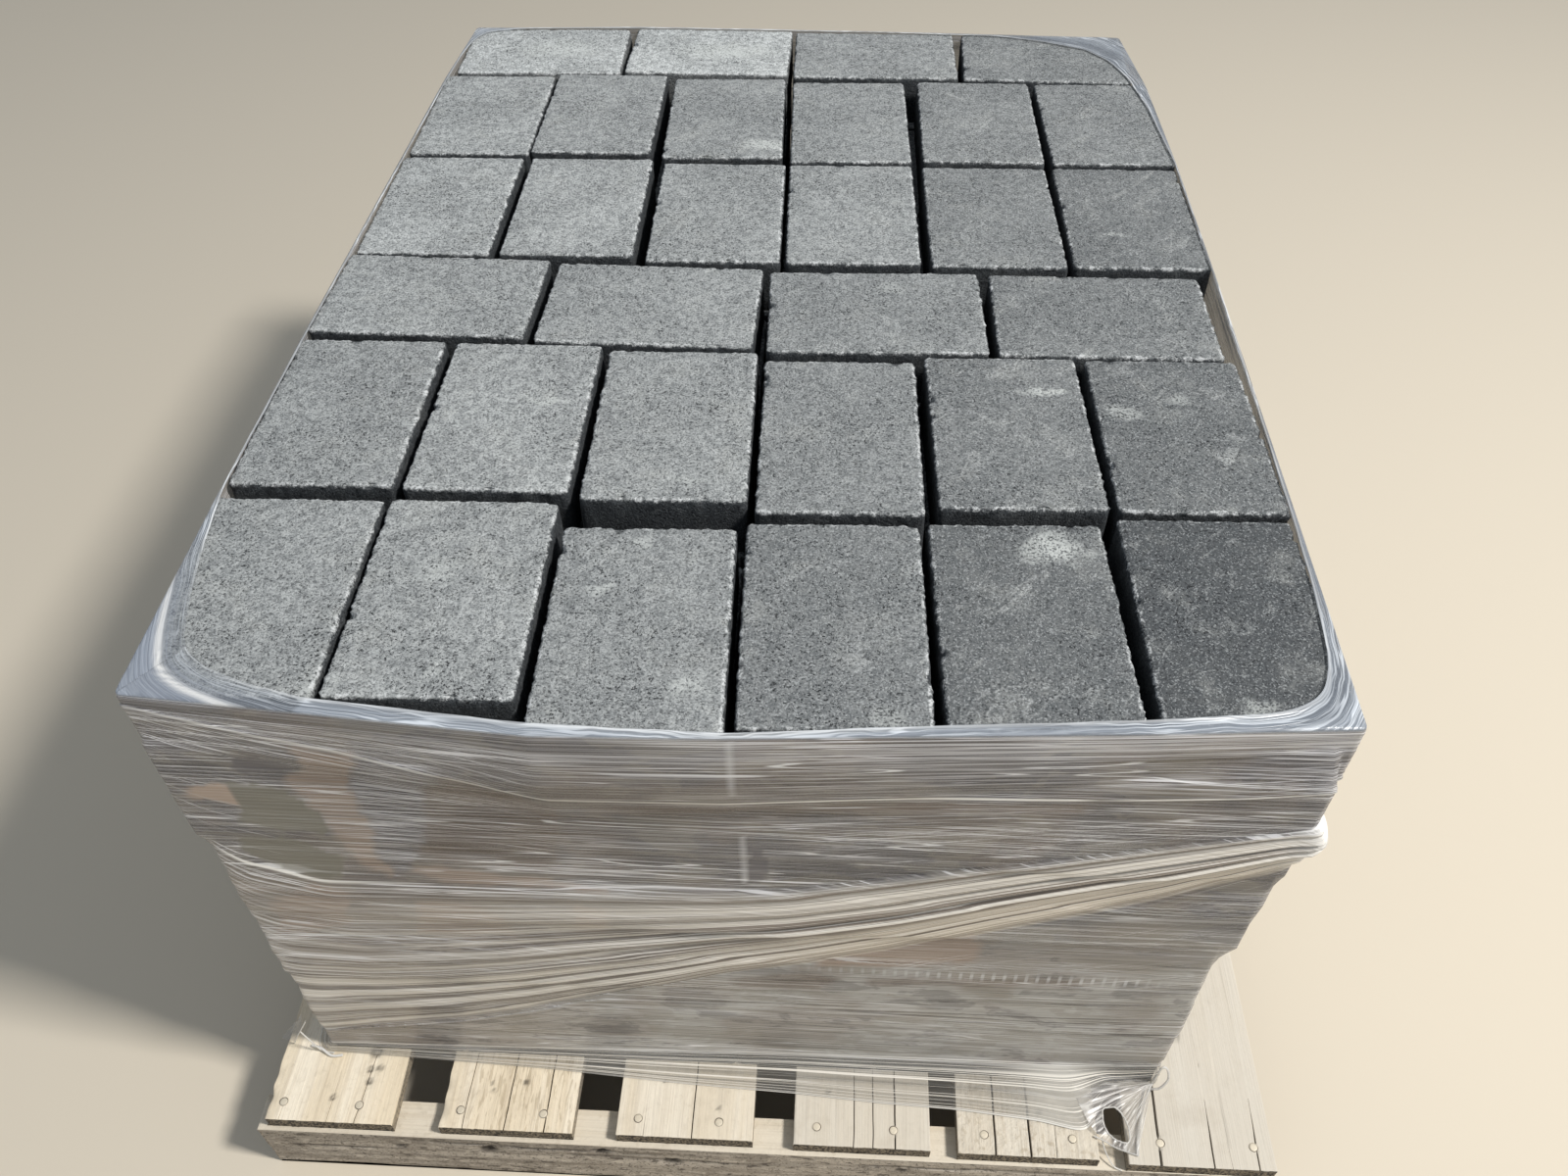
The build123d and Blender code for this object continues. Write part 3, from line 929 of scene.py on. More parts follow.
# The film's foot on the deck, and its mouth on the load top, anticlockwise, in mm
FOOT = (
    (-477, -580), (-440, -581), (-380, -583), (-228, -588.5), (-79, -598), (37, -603), (127, -609),
    (205, -612), (289, -619.5), (335, -629), (344, -620), (360, -590), (414, -579), (422, -560),
    (424, -300), (428, 0), (430, 300), (432, 610), (200, 612), (-200, 612), (-474, 610), (-476, 300),
    (-478, 0), (-480, -400), (-482, -572),
)
MOUTH = (
    (-326, -574), (-157, -590), (-13, -592.5), (137, -579), (245, -570.5), (304, -565), (363, -559),
    (395, -552), (410, -543), (421, -529), (428, -508), (431.5, -481), (435.5, -429), (438.5, -349),
    (444.5, 44), (445, 270), (436, 414), (424, 499), (406, 553), (378, 588), (321, 612), (267, 627),
    (100, 633), (-232.7, 636), (-400, 627), (-445, 614), (-458, 590), (-464, 540), (-466, 463),
    (-468, -129), (-467, -352), (-457, -424), (-444, -489), (-435, -520), (-427, -535), (-406, -550),
    (-370, -563),
)
LIP_ROWS = 16
# How milky the gathered band is at some stations, in its upper and its lower part
MILK_STATIONS = (0, 0.15, 0.3, 0.6, 1, 2, 3, 4)
HIGH_MILK = (0.14, 0.22, 0.50, 0.97, 1, 0.4, 0.2, 0.3)
LOW_MILK = (0.66, 0.72, 0.80, 0.97, 1, 0.4, 0.2, 0.3)
# How strong the painted highlight line under the rim is at some stations
RIM_STATIONS = (0, 0.30, 0.45, 0.55, 0.78, 0.80, 0.85, 0.95, 1)
RIM_LINE = (0.4, 0.5, 0.6, 1, 1, 0.3, 1, 0.6, 0.2)
# How far the band stands out at some stations
SWELL_STATIONS = (0, 0.25, 0.6, 0.95, 1.05, 1.6, 3, 4)
SWELL_SHARES = (0.5, 0.8, 1, 1, 1, 0.5, 0.25, 0.4)
# Patches of the pavers seen through the front wall: tint, how streaks cross it (calm, tight or
# plain), and its corners as x and height in mm
FILM_PATCHES = (
    ("dark", "calm", (
        (-395, 644), (-376, 651), (-361, 639), (-353, 631), (-366, 622), (-384, 621), (-402, 618),
        (-403, 626),
    )),
    ("green", "calm", (
        (-424, 603), (-397, 607), (-367, 600), (-359, 584), (-357, 561), (-349, 543), (-360, 532),
        (-375, 539), (-395, 542), (-416, 548), (-425, 552), (-413, 572), (-418, 590),
    )),
    ("beige", "calm", (
        (-456, 587), (-437, 602), (-424, 603), (-418, 590), (-412, 576), (-422, 571), (-438, 579),
    )),
    ("beige", "plain", (
        (-342, 663), (-295, 666), (-315, 601), (-312, 569), (-316, 522), (-312, 471), (-328, 475),
        (-340, 505), (-349, 543), (-356, 566), (-357, 589), (-369, 611), (-348, 630),
    )),
    ("dark", "tight", (
        (-296, 662), (-236, 660), (-261, 586), (-281, 505), (-312, 471), (-316, 522), (-312, 569),
        (-315, 601),
    )),
    ("brown", "plain", (
        (-229, 649), (-176, 610), (-152, 594), (-164, 493), (-209, 489), (-264, 496), (-279, 515),
        (-254, 605),
    )),
    ("beige", "plain", (
        (-309, 482), (-265, 490), (-211, 479), (-127, 466), (-128, 460), (-213, 464), (-270, 465),
    )),
    ("green", "calm", (
        (-433, 527), (-394, 530), (-361, 509), (-348, 495), (-358, 468), (-385, 466), (-421, 489),
        (-436, 504),
    )),
    ("beige", "plain", ((-433, 419), (-387, 456), (-360, 447), (-370, 390), (-416, 356), (-446, 359))),
    ("beige", "plain", ((-296, 436), (-261, 439), (-224, 413), (-225, 378), (-275, 368), (-311, 371))),
    ("beige", "plain", ((-162, 441), (-131, 432), (-136, 391), (-166, 389))),
    ("dark", "calm", ((-6, 543), (9, 544), (8, 490), (-7, 489))),
    ("brown", "plain", (
        (-128, 599), (-18, 607), (101, 614), (249, 621), (251, 608), (101, 600), (-18, 592),
        (-130, 586),
    )),
    ("beige", "plain", ((54, 368), (141, 409), (196, 425), (204, 357), (145, 345), (55, 340))),
    ("brown", "plain", ((-26, 310), (55, 324), (74, 313), (55, 294), (-14, 288))),
    ("brown", "plain", ((104, 322), (297, 333), (300, 317), (105, 306))),
)
# Short upright lines where the film is joined, in mm: x, and the heights each runs between
FILM_JOINS = ((-8.5, 484, 557), (-13.5, 628, 705))
# A row of small ticks along the lower film, in mm: height, and x of both ends
TICK_ROW = (332, 20, 385)
# The milky part of the skirt: its middle and width along x
MILKY_X, MILKY_WIDTH = 0.305, 0.05
# The clear web and the roll round it in the lip at the left front corner: how far they reach
# along the rim, where they lie from the mouth's edge, and the narrowest lip that has them
WEB_REACH, WEB_EDGE, ROLL_MIDDLE, ROLL_WIDTH, WEB_LIP = 0.20, 22 * MM, 23 * MM, 3 * MM, 14 * MM


def hull_sides(points):
    """Outward directions and distances of a convex outline's sides, seen from the centre."""
    flat = [Vector(p) for p in np.unique(np.round(points[:, :2] - CENTRE, 5), axis=0)]
    ring = np.array([flat[i] for i in convex_hull_2d(flat)])
    along = np.roll(ring, -1, axis=0) - ring
    normals = np.column_stack((along[:, 1], -along[:, 0]))
    normals /= np.linalg.norm(normals, axis=1)[:, None]
    distances = (normals * ring).sum(1)
    flip = np.sign(distances)
    return normals * flip[:, None], distances * flip


def hull_reach(sides, directions):
    """How far a convex outline reaches from the centre in some directions."""
    normals, distances = sides
    facing = directions @ normals.T
    return np.where(facing > 1e-6, distances / np.maximum(facing, 1e-6), 9).min(1)


def turn_of(flat):
    """The angle of some directions in the plane."""
    return np.arctan2(flat[:, 1], flat[:, 0])


def softened(at, fine, where, values, window, cut):
    """A line through some values, its corners softened over a window, read at some places."""
    weights = np.hanning(window)
    soft = np.convolve(np.interp(fine, where, values), weights / weights.sum(), mode="same")
    return np.interp(at, fine[cut:-cut], soft[cut:-cut])


def ring_reach(points, angles):
    """How far a ring of points in mm reaches from the centre at some angles."""
    ring = np.array(points) * MM
    shares = np.linspace(0, 1, 30, endpoint=False)[None, :, None]
    ring = (ring[:, None] + (np.roll(ring, -1, axis=0) - ring)[:, None] * shares).reshape(-1, 2)
    spokes = ring - CENTRE
    turn = np.unwrap(turn_of(spokes))
    turn = np.concatenate((turn - 2 * math.pi, turn, turn + 2 * math.pi))
    fine = np.linspace(angles.min() - 0.1, angles.max() + 0.1, 3000)
    return softened(angles, fine, turn, np.tile(np.linalg.norm(spokes, axis=1), 3), 23, 30)


def guide_height(guide, stations):
    """How high a guide line runs at some stations."""
    front, rest = guide
    width = FRONT_RIGHT - FRONT_LEFT
    points = [((x - FRONT_LEFT) / width, height) for x, height in front] + list(rest)
    where, heights = np.array(points).T
    where = np.concatenate((where - 4, where, where + 4))
    return softened(stations, np.linspace(-0.5, 4.5, 5001), where, np.tile(heights * MM, 3), 41, 100)


def film_columns():
    """Station, angle, direction and run round the load of each column of the film."""
    corners = np.array(WALL_CORNERS) * MM
    stations, spots = [], []
    for side, spacing in enumerate(COLUMN_STEPS):
        start, end = corners[side], corners[(side + 1) % 4]
        length = np.linalg.norm(end - start)
        near = np.array(CORNER_STEPS) * MM
        steps = round((length - 48 * MM) / (spacing * MM))
        middle = np.linspace(24 * MM, length - 24 * MM, steps)
        along = np.concatenate((near, middle, length - near[:0:-1])) / length
        stations.append(side + along)
        spots.append(start + (end - start) * along[:, None])
    stations, spots = np.concatenate(stations), np.concatenate(spots)
    angles = np.unwrap(turn_of(spots - CENTRE))
    directions = np.column_stack((np.cos(angles), np.sin(angles)))
    steps = np.linalg.norm(np.diff(spots, axis=0, append=spots[:1]), axis=1)
    return stations, angles, directions, np.concatenate(([0], np.cumsum(steps)[:-1]))


def field(first, second, seed):
    """Smooth noise over two arrays of coordinates, about -1 to 1."""
    shape = np.broadcast(first, second).shape
    a, b = np.broadcast_to(first, shape).ravel(), np.broadcast_to(second, shape).ravel()
    values = [noise.noise((x, y, seed * 7.31)) for x, y in zip(a, b)]
    return np.array(values).reshape(shape)


def ramp(value, low, high):
    """0 below one value, 1 above another and even between them."""
    return np.clip((value - low) / (high - low), 0, 1)


def hump(value, middle, width):
    """1 at the middle, falling off smoothly to both sides."""
    return np.exp(-(((value - middle) / width) ** 2))


def patch_share(x, height, corners, soft):
    """How far points lie inside an outline, from 0 to 1 across its soft edge."""
    ring = np.array(corners) * MM
    inside = np.zeros(x.shape, dtype=bool)
    away = np.full(x.shape, 9.0)
    for (ax, az), (bx, bz) in zip(ring, np.roll(ring, -1, axis=0)):
        wide, high = bx - ax, bz - az
        crosses = (az > height) != (bz > height)
        inside ^= crosses & (x < ax + (height - az) * wide / (high or 1e-9))
        share = np.clip(((x - ax) * wide + (height - az) * high) / (wide**2 + high**2), 0, 1)
        away = np.minimum(away, np.hypot(x - ax - share * wide, height - az - share * high))
    return np.clip(0.5 + np.where(inside, away, -away) / soft, 0, 1)


def film_wall(stations, angles, directions, run):
    """The film from the rim to the deck. Its rows follow the guide lines, so pleats do too."""
    count = len(stations)
    reaches, spans = [], []
    for number in range(1, LAYERS + 1):
        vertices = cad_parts[f"paver_layer_{number}"].data.vertices
        points = np.array([vertex.co[:] for vertex in vertices])
        reaches.append(hull_reach(hull_sides(points), directions))
        spans.append((points[:, 2].min(), points[:, 2].max()))

    lines = [np.full(count, LOAD_TOP - 2 * MM)]
    lines += [guide_height(guide, stations) for guide in GUIDES]
    lines.append(np.full(count, DECK_TOP + 1.2 * MM))
    for upper, lower in zip(lines, lines[1:]):
        np.minimum(lower, upper - 1.5 * MM, out=lower)
    levels, heights = [], []
    for part, rows in enumerate(GUIDE_ROWS):
        upper, lower = lines[part : part + 2]
        for share in np.arange(rows) / rows:
            levels.append(part + share)
            heights.append(upper + (lower - upper) * share)
    levels, heights = np.array(levels + [len(GUIDE_ROWS)]), np.array(heights + [lines[-1]])
    level, station, along = levels[:, None], stations[None, :], run[None, :]

    reach = np.zeros_like(heights)
    for layer, (low, high) in zip(reaches, spans):
        away = np.maximum(np.maximum(low - heights, heights - high), 0)
        reach = np.maximum(reach, layer - FILM_SLOPE * away)
    reach += FILM_GAP
    foot = np.maximum(ring_reach(FOOT, angles), reaches[0] + 2 * MM)
    skirt = ramp(level, ROPE, ROPE + 1)
    reach = np.where(level > ROPE, reach[levels == ROPE][0] * (1 - skirt) + foot * skirt, reach)

    # Relief in mm: the band's folds, its bulge at the right corner, fine wrinkles elsewhere,
    # ridges along guide lines and folds in the skirt
    across = LOAD_TOP - heights
    on_front = np.clip(np.minimum(station, 1 - station) * 40, 0, 1) * (station < 1)
    fan = ramp(level, BAND_TOP, BAND_FOOT)
    in_band = (level >= BAND_TOP) & (level <= BAND_FOOT)
    bend = field(along * 1.6, fan * 3, 4)
    folds = np.clip(np.abs(field(fan * 26 + 0.4 * bend, along * 0.5, 1)) * 2.6, 0, 1)
    deep = np.clip(np.abs(field(fan * 11 + 0.3 * bend, along * 0.35, 2)) * 2.2, 0, 1)
    swell = np.sin(math.pi * fan) ** 0.35
    plain = ramp(fan, 0.52, 0.62) * ramp(along, 0.38, 0.58) * (station < 1)
    folded = 1 + (2.6 * folds**0.7 + 4.2 * deep**0.6) * (1 - 0.65 * plain)
    relief = in_band * swell * np.interp(station, SWELL_STATIONS, SWELL_SHARES) * folded
    relief += in_band * swell * hump(station, 1, 0.02) * 11
    fine = field(across * 210, along * 1.6, 3) * 0.6 + field(across * 95, along * 1.1, 5) * 0.35
    relief += ~in_band * (0.5 + fine * 0.55)
    relief += hump(level, ROPE, 0.035) + hump(level, 1, 0.035)
    crease = np.clip((0.24 - station) * 9, 0, 1) * np.clip(station * 30, 0, 1) * (station < 1)
    relief += hump(level, BAND_TOP, 0.014) * crease * 2.2
    relief += hump(level, LOW_LINE, 0.05) * on_front
    skirt_folds = 0.8 + field(skirt * 16, along * 1.2, 8)
    relief += (level > ROPE) * np.sin(math.pi * skirt) * skirt_folds * 2.2
    reach = reach + relief * MM * np.clip(level * 12, 0, 1)
    sag = field(across * 14, along * 2, 12) * 1.2 * MM
    heights = heights + (level < ROPE) * sag * np.clip(level, 0, 1)
    return SimpleNamespace(
        level=level, station=station, along=along, across=across, reach=reach, heights=heights,
        top_reach=reaches[-1] + FILM_GAP, x=CENTRE[0] + directions[:, 0] * reach,
        on_front=on_front, fan=fan, in_band=in_band, folds=folds, deep=deep, skirt=skirt,
    )


def film_lips(wall, angles):
    """The lips, from the mouth's edge on the load top out to the rim."""
    mouth = np.minimum(ring_reach(MOUTH, angles), wall.top_reach - 2 * MM)
    share = (np.linspace(1, 0, LIP_ROWS) ** 1.35)[:, None]
    width = wall.top_reach - mouth
    edge_away = width * (1 - share) - np.where(share > 0.99, 0, 0.6 * MM)
    reach = mouth + edge_away
    fold = field(edge_away * 230, wall.along * 3, 21) * np.clip(edge_away / (8 * MM), 0.3, 1)
    bead = hump(edge_away, 1.2 * MM, 1.6 * MM)
    rim = np.clip((wall.top_reach - reach) / (2.5 * MM), 0, 1) ** 0.5
    heights = LOAD_TOP + (rim * (1.9 + (0.6 + fold) * 0.6 + bead * 1.8) - 1) * MM
    reach = reach + field(wall.along * 30, share * 2, 22) * 0.8 * MM * share
    return SimpleNamespace(
        share=share, reach=reach, heights=heights, edge_away=edge_away, bead=bead, width=width,
    )


def front_patches(wall):
    """How much of each tint and each way of streaking the front patches give the wall."""

    def ragged(seed, broad, fine):
        wander = field(wall.x * 30, wall.heights * 40, seed) * broad
        return (wander + field(wall.x * 90, wall.heights * 110, seed + 1) * fine) * MM

    x, height = wall.x + ragged(31, 7, 5), wall.heights + ragged(33, 5, 3)
    shares = dict.fromkeys(("dark", "green", "beige", "brown", "calm", "tight"), wall.reach * 0)
    for tint, crossed, corners in FILM_PATCHES:
        soft = 2.5 if crossed == "calm" else 7
        shown = patch_share(x, height, corners, soft * MM) * wall.on_front
        for key in (tint, crossed):
            if key != "plain":
                shares[key] = np.maximum(shares[key], shown)
    return shares


def front_ticks(wall):
    """The row of ticks, and with a minus the short upright joins."""
    height, left, right = (value * MM for value in TICK_ROW)
    ticks = hump(wall.heights, height, 5 * MM) * wall.on_front
    ticks *= np.clip((wall.x - left) * 20, 0, 1) * np.clip((right - wall.x) * 20, 0, 1)
    for x, low, high in FILM_JOINS:
        near = np.argmin(np.abs(wall.x.mean(0) - x * MM) + 9 * (wall.station[0] >= 1))
        joined = (wall.heights[:, near] > low * MM) & (wall.heights[:, near] < high * MM)
        ticks[joined, near] = -1
    return ticks


def stretch_film(material):
    """The wound film as one sheet: lips on the load top, walls, gathered band and flared foot."""
    stations, angles, directions, run = film_columns()
    wall = film_wall(stations, angles, directions, run)
    lips = film_lips(wall, angles)
    reach = np.concatenate((lips.reach, wall.reach))[..., None]
    heights = np.concatenate((lips.heights, wall.heights))[..., None]
    points = np.concatenate((CENTRE + directions * reach, heights), axis=2)
    faces = [face[::-1] for face in ring_faces(len(points), len(stations))]
    piece = add_mesh("stretch_film_sheet", points.reshape(-1, 3), faces)

    level, station, along, in_band = wall.level, wall.station, wall.along, wall.in_band
    low_part = ramp(level, 2.52, 2.64)
    high, low = (np.interp(station, MILK_STATIONS, milk) for milk in (HIGH_MILK, LOW_MILK))
    milk = in_band * np.clip(wall.fan * 10, 0, 1) * (high * (1 - low_part) + low * low_part)
    # Whitened film at the band's right tip and at the skirt's foot: partly gathered film, partly
    # painted sheen
    glow = in_band * hump(station, 1, 0.03) * 0.8 + (level > ROPE) * hump(wall.skirt, 1, 0.05) * 0.5
    # Painted highlight lines on ridges: at the band's top near its left end, at the rope and under the
    # rim
    left_end = np.clip((0.20 - station) * 8, 0, 1) * np.clip(station * 30, 0, 1)
    line = left_end * hump(level, BAND_TOP, 0.2) + 0.6 * hump(level, ROPE, 0.2)
    line = line + np.interp(station, RIM_STATIONS, RIM_LINE) * hump(level, 1, 0.2)
    milky = (level > ROPE) * hump(wall.x, MILKY_X, MILKY_WIDTH) * wall.on_front
    skirt = np.clip((level - ROPE) * 8, 0, 1) * (1 - 0.7 * milky)

    # Near the left front corner the lip is a clear web inside a thick roll
    half_way = run[-1] / 2
    near_left = hump((along + half_way) % run[-1] - half_way, 0, WEB_REACH)
    open_web = near_left * (lips.width > WEB_LIP)
    web = np.clip((WEB_EDGE - lips.edge_away) / ROLL_WIDTH, 0, 1) * open_web
    roll = hump(lips.edge_away, ROLL_MIDDLE, ROLL_WIDTH) * open_web
    patches = front_patches(wall)
    # Each mark of the wall's points and of the lips' points
    marks = {
        "level": (level, -lips.share),
        "across": (wall.across, -lips.edge_away - 0.01),
        "run": (along, along),
        "milk": (milk, 0),
        # fold: shade painted into the band's fold valleys, darkest where the folds stand out least
        "fold": (in_band * np.clip(1.15 - wall.folds * 0.55 - wall.deep * 0.75, 0, 1), 0),
        # The lips' bead and roll are whitened the same way
        "glow": (glow, lips.bead * 0.35 + roll * 0.8),
        "lip": (0, 1),
        "skirt": (skirt, web * 0.9),
        "milky": (milky, 0),
        "line": (line * (station < 1), 0),
        "ticks": (front_ticks(wall), 0),
        "calm": (patches.pop("calm"), np.clip(lips.edge_away / WEB_LIP - 0.2, 0, 1) * near_left),
    }
    marks |= {key: (share, 0) for key, share in patches.items()}
    for key, (of_wall, of_lips) in marks.items():
        both = (of_lips + 0 * lips.reach, of_wall + 0 * wall.reach)
        add_marks(piece, **{f"film_{key}": np.concatenate(both)})
    dress(piece, "film", material, "stretch_film")
    return piece


# Loose tails of the film: all places and radii in mm

KNOT_TOP = (410.5, -577, 115)
KNOT_RIM = (
    (318, -580, 144), (322, -596, 132), (333, -613, 119), (342, -626, 112), (351, -635, 109),
    (362, -642, 108.5), (374, -647, 108.5), (386, -650, 109),
)
KNOT_HOLE = (
    (354.2, -609.1), (360.6, -605.8), (369.5, -606.4), (376.5, -614.1), (379.8, -625.8), (379, -636.6),
    (373.3, -638.8), (362.9, -634.4), (355.1, -623.9),
)
KNOT_RINGS = 44
TORN_RADIUS = 0.9
# Thin ropes of gathered film: radius and path
KNOT_ROPES = (
    (0.9, ((344, -633, 109.2), (354, -637.5, 109), (366, -644, 108.8), (387, -650.5, 109))),
    (0.8, ((352, -633, 108), (354.5, -643, 102), (362.9, -655, 92.5), (372, -659, 90))),
    (1.3, (
        KNOT_TOP, (410, -578, 128), (415, -574, 145), (421, -575, 142), (423, -580, 130),
        (416.5, -584, 118), (409, -583, 112),
    )),
    (1.2, (KNOT_TOP, (402, -592, 112), (394, -612, 111), (389, -632, 110), (386, -650, 109))),
)
FLAP_CORNERS = ((-474, -577.5, 190), (-522, -569, 108.5), (-486, -578, 150), (-506, -573, 108.5))
FLAP_STEPS = 14
FLAP_ROPES = (
    (0.7, ((-474, -579, 175), (-486, -580, 152), (-496, -578, 132), (-506, -574, 109))),
    (0.8, ((-486, -580, 152), (-480, -581, 132), (-474, -581, 110), (-460, -583, 109.5))),
    (1.4, ((-486, -576, 109.5), (-474, -580, 112), (-462, -586, 109), (-450, -585, 109.5))),
)
ROPE_TONE = 0.8


def smooth_path(points, steps=6, closed=False):
    """A soft curve through some points in mm, in metres."""
    spots = np.array(points) * MM
    count = len(spots)
    curve = []
    for i in range(count if closed else count - 1):
        near = np.arange(i - 1, i + 3)
        a, b, c, d = spots[near % count if closed else np.clip(near, 0, count - 1)]
        for t in np.arange(steps) / steps:
            bend = (2 * a - 5 * b + 4 * c - d) * t**2 + (3 * b - a - 3 * c + d) * t**3
            curve.append(0.5 * (2 * b + (c - a) * t + bend))
    curve.append(curve[0] if closed else spots[-1])
    return np.array(curve)


def add_rope(mesh, path, radius, sides=8):
    """A thin rope along a path."""
    path, points = np.array(path), []
    for i, spot in enumerate(path):
        ahead = Vector(path[min(i + 1, len(path) - 1)] - path[max(i - 1, 0)]).normalized()
        side = ahead.cross(Vector((0.13, 0.31, 0.94))).normalized()
        up = ahead.cross(side)
        for turn in 2 * math.pi * np.arange(sides) / sides:
            round_it = math.cos(turn) * np.array(side) + math.sin(turn) * np.array(up)
            points.append(spot + radius * MM * round_it)
    mesh.add(np.array(points), ring_faces(len(path), sides), ROPE_TONE)


def film_knot(material):
    """The film's gathered tail at the right front corner, torn open over the gap in the deck."""
    rim, top = smooth_path(KNOT_RIM, 10), np.array(KNOT_TOP) * MM
    hole = smooth_path(KNOT_HOLE, 8, closed=True)[:-1]
    middle, count, points = hole.mean(0), len(rim), []
    for share in 0.04 + 0.96 * np.arange(KNOT_RINGS + 1) / KNOT_RINGS:
        for i in range(count):
            fold = noise.noise((i * 0.42, share * 1.2, 3.3)) * math.sin(math.pi * share) ** 0.6
            points.append(top + (rim[i] - top) * share + (0, 0, (1.2 + fold * 5 * share) * MM))
    points = np.array(points)

    # Points near the torn edge are moved onto it, and the faces inside it left out
    spokes, away = hole - middle, points[:, :2] - middle
    order = np.argsort(turn_of(spokes))
    turns, lengths = turn_of(spokes)[order], np.linalg.norm(spokes, axis=1)[order]
    reach = np.linalg.norm(away, axis=1)
    edge = np.interp(turn_of(away), turns, lengths, period=2 * math.pi)
    on_edge = np.abs(reach - edge) < 0.9 * MM
    points[on_edge, :2] = (middle + away * (edge / np.maximum(reach, 1e-9))[:, None])[on_edge]
    outside = reach - edge
    faces = ring_faces(KNOT_RINGS + 1, count, closed=False)
    mesh = Mesh()
    mesh.add(points, [face for face in faces if outside[list(face)].mean() > 0], 0)

    torn = []
    for spot in smooth_path(KNOT_HOLE, 5, closed=True):
        nearest = np.argmin(np.linalg.norm(points[:, :2] - spot, axis=1))
        torn.append((*spot, points[nearest, 2]))
    add_rope(mesh, torn, TORN_RADIUS)
    for radius, path in KNOT_ROPES:
        add_rope(mesh, smooth_path(path), radius)
    # Pale strands and ropes of the knot: gathered film with painted sheen
    glow = np.full(mesh.count, ROPE_TONE * 0.9)
    for i in range(len(points)):
        strand = abs(noise.noise((i % count * 0.9, i // count * 0.05, 5.1)))
        glow[i] = 0.1 + 0.75 * max(0, 1 - strand * 5)
    piece = mesh.piece("film_knot")
    add_marks(piece, film_glow=glow, film_skirt=0.9)
    dress(piece, "film", material, "stretch_film")
    return piece


def film_flap(material):
    """A loose corner of film at the left front corner, standing out over the deck."""
    a, b, c, d = np.array(FLAP_CORNERS) * MM
    points = []
    for u in np.arange(FLAP_STEPS + 1) / FLAP_STEPS:
        for v in np.arange(FLAP_STEPS + 1) / FLAP_STEPS:
            spot = (a * (1 - u) + b * u) * (1 - v) + (c * (1 - u) + d * u) * v
            crumple = noise.noise((u * 4, v * 3, 1.7)) * 3 * MM * math.sin(math.pi * min(1, u + 0.1))
            points.append(spot + (crumple * 0.6, -abs(crumple), 0))
    mesh = Mesh()
    mesh.add(np.array(points), ring_faces(FLAP_STEPS + 1, FLAP_STEPS + 1, closed=False), 0)
    for radius, path in FLAP_ROPES:
        add_rope(mesh, smooth_path(path), radius)
    piece = mesh.piece("film_flap")
    add_marks(piece, film_glow=mesh.tones, film_lip=0.5 * (np.array(mesh.tones) == 0), film_skirt=0.5)
    dress(piece, "film", material, "stretch_film")
    return piece


# Tints of the front patches: strength and colour
PATCH_TINTS = {
    "beige": (0.82, (180, 158, 140)), "green": (0.92, (112, 110, 98)),
    "dark": (0.85, (86, 84, 91)), "brown": (0.62, (124, 106, 91)),
}
# Painted highlight lines along ridges of the wall: level and width
HIGHLIGHT_LINES = ((1, 0.022), (2, 0.012), (4.98, 0.014), (5.02, 0.012))
# Ribs of the film: spacing in metres, how many there are between guide lines above and in
# the band, and the spacing of the ticks in metres
RIB_STEP, TOP_RIBS, BAND_RIBS, TICK_STEP = 0.0048, 15, 46, 0.010
ALPHA_LEAST, ALPHA_MOST = 0.14, 0.97


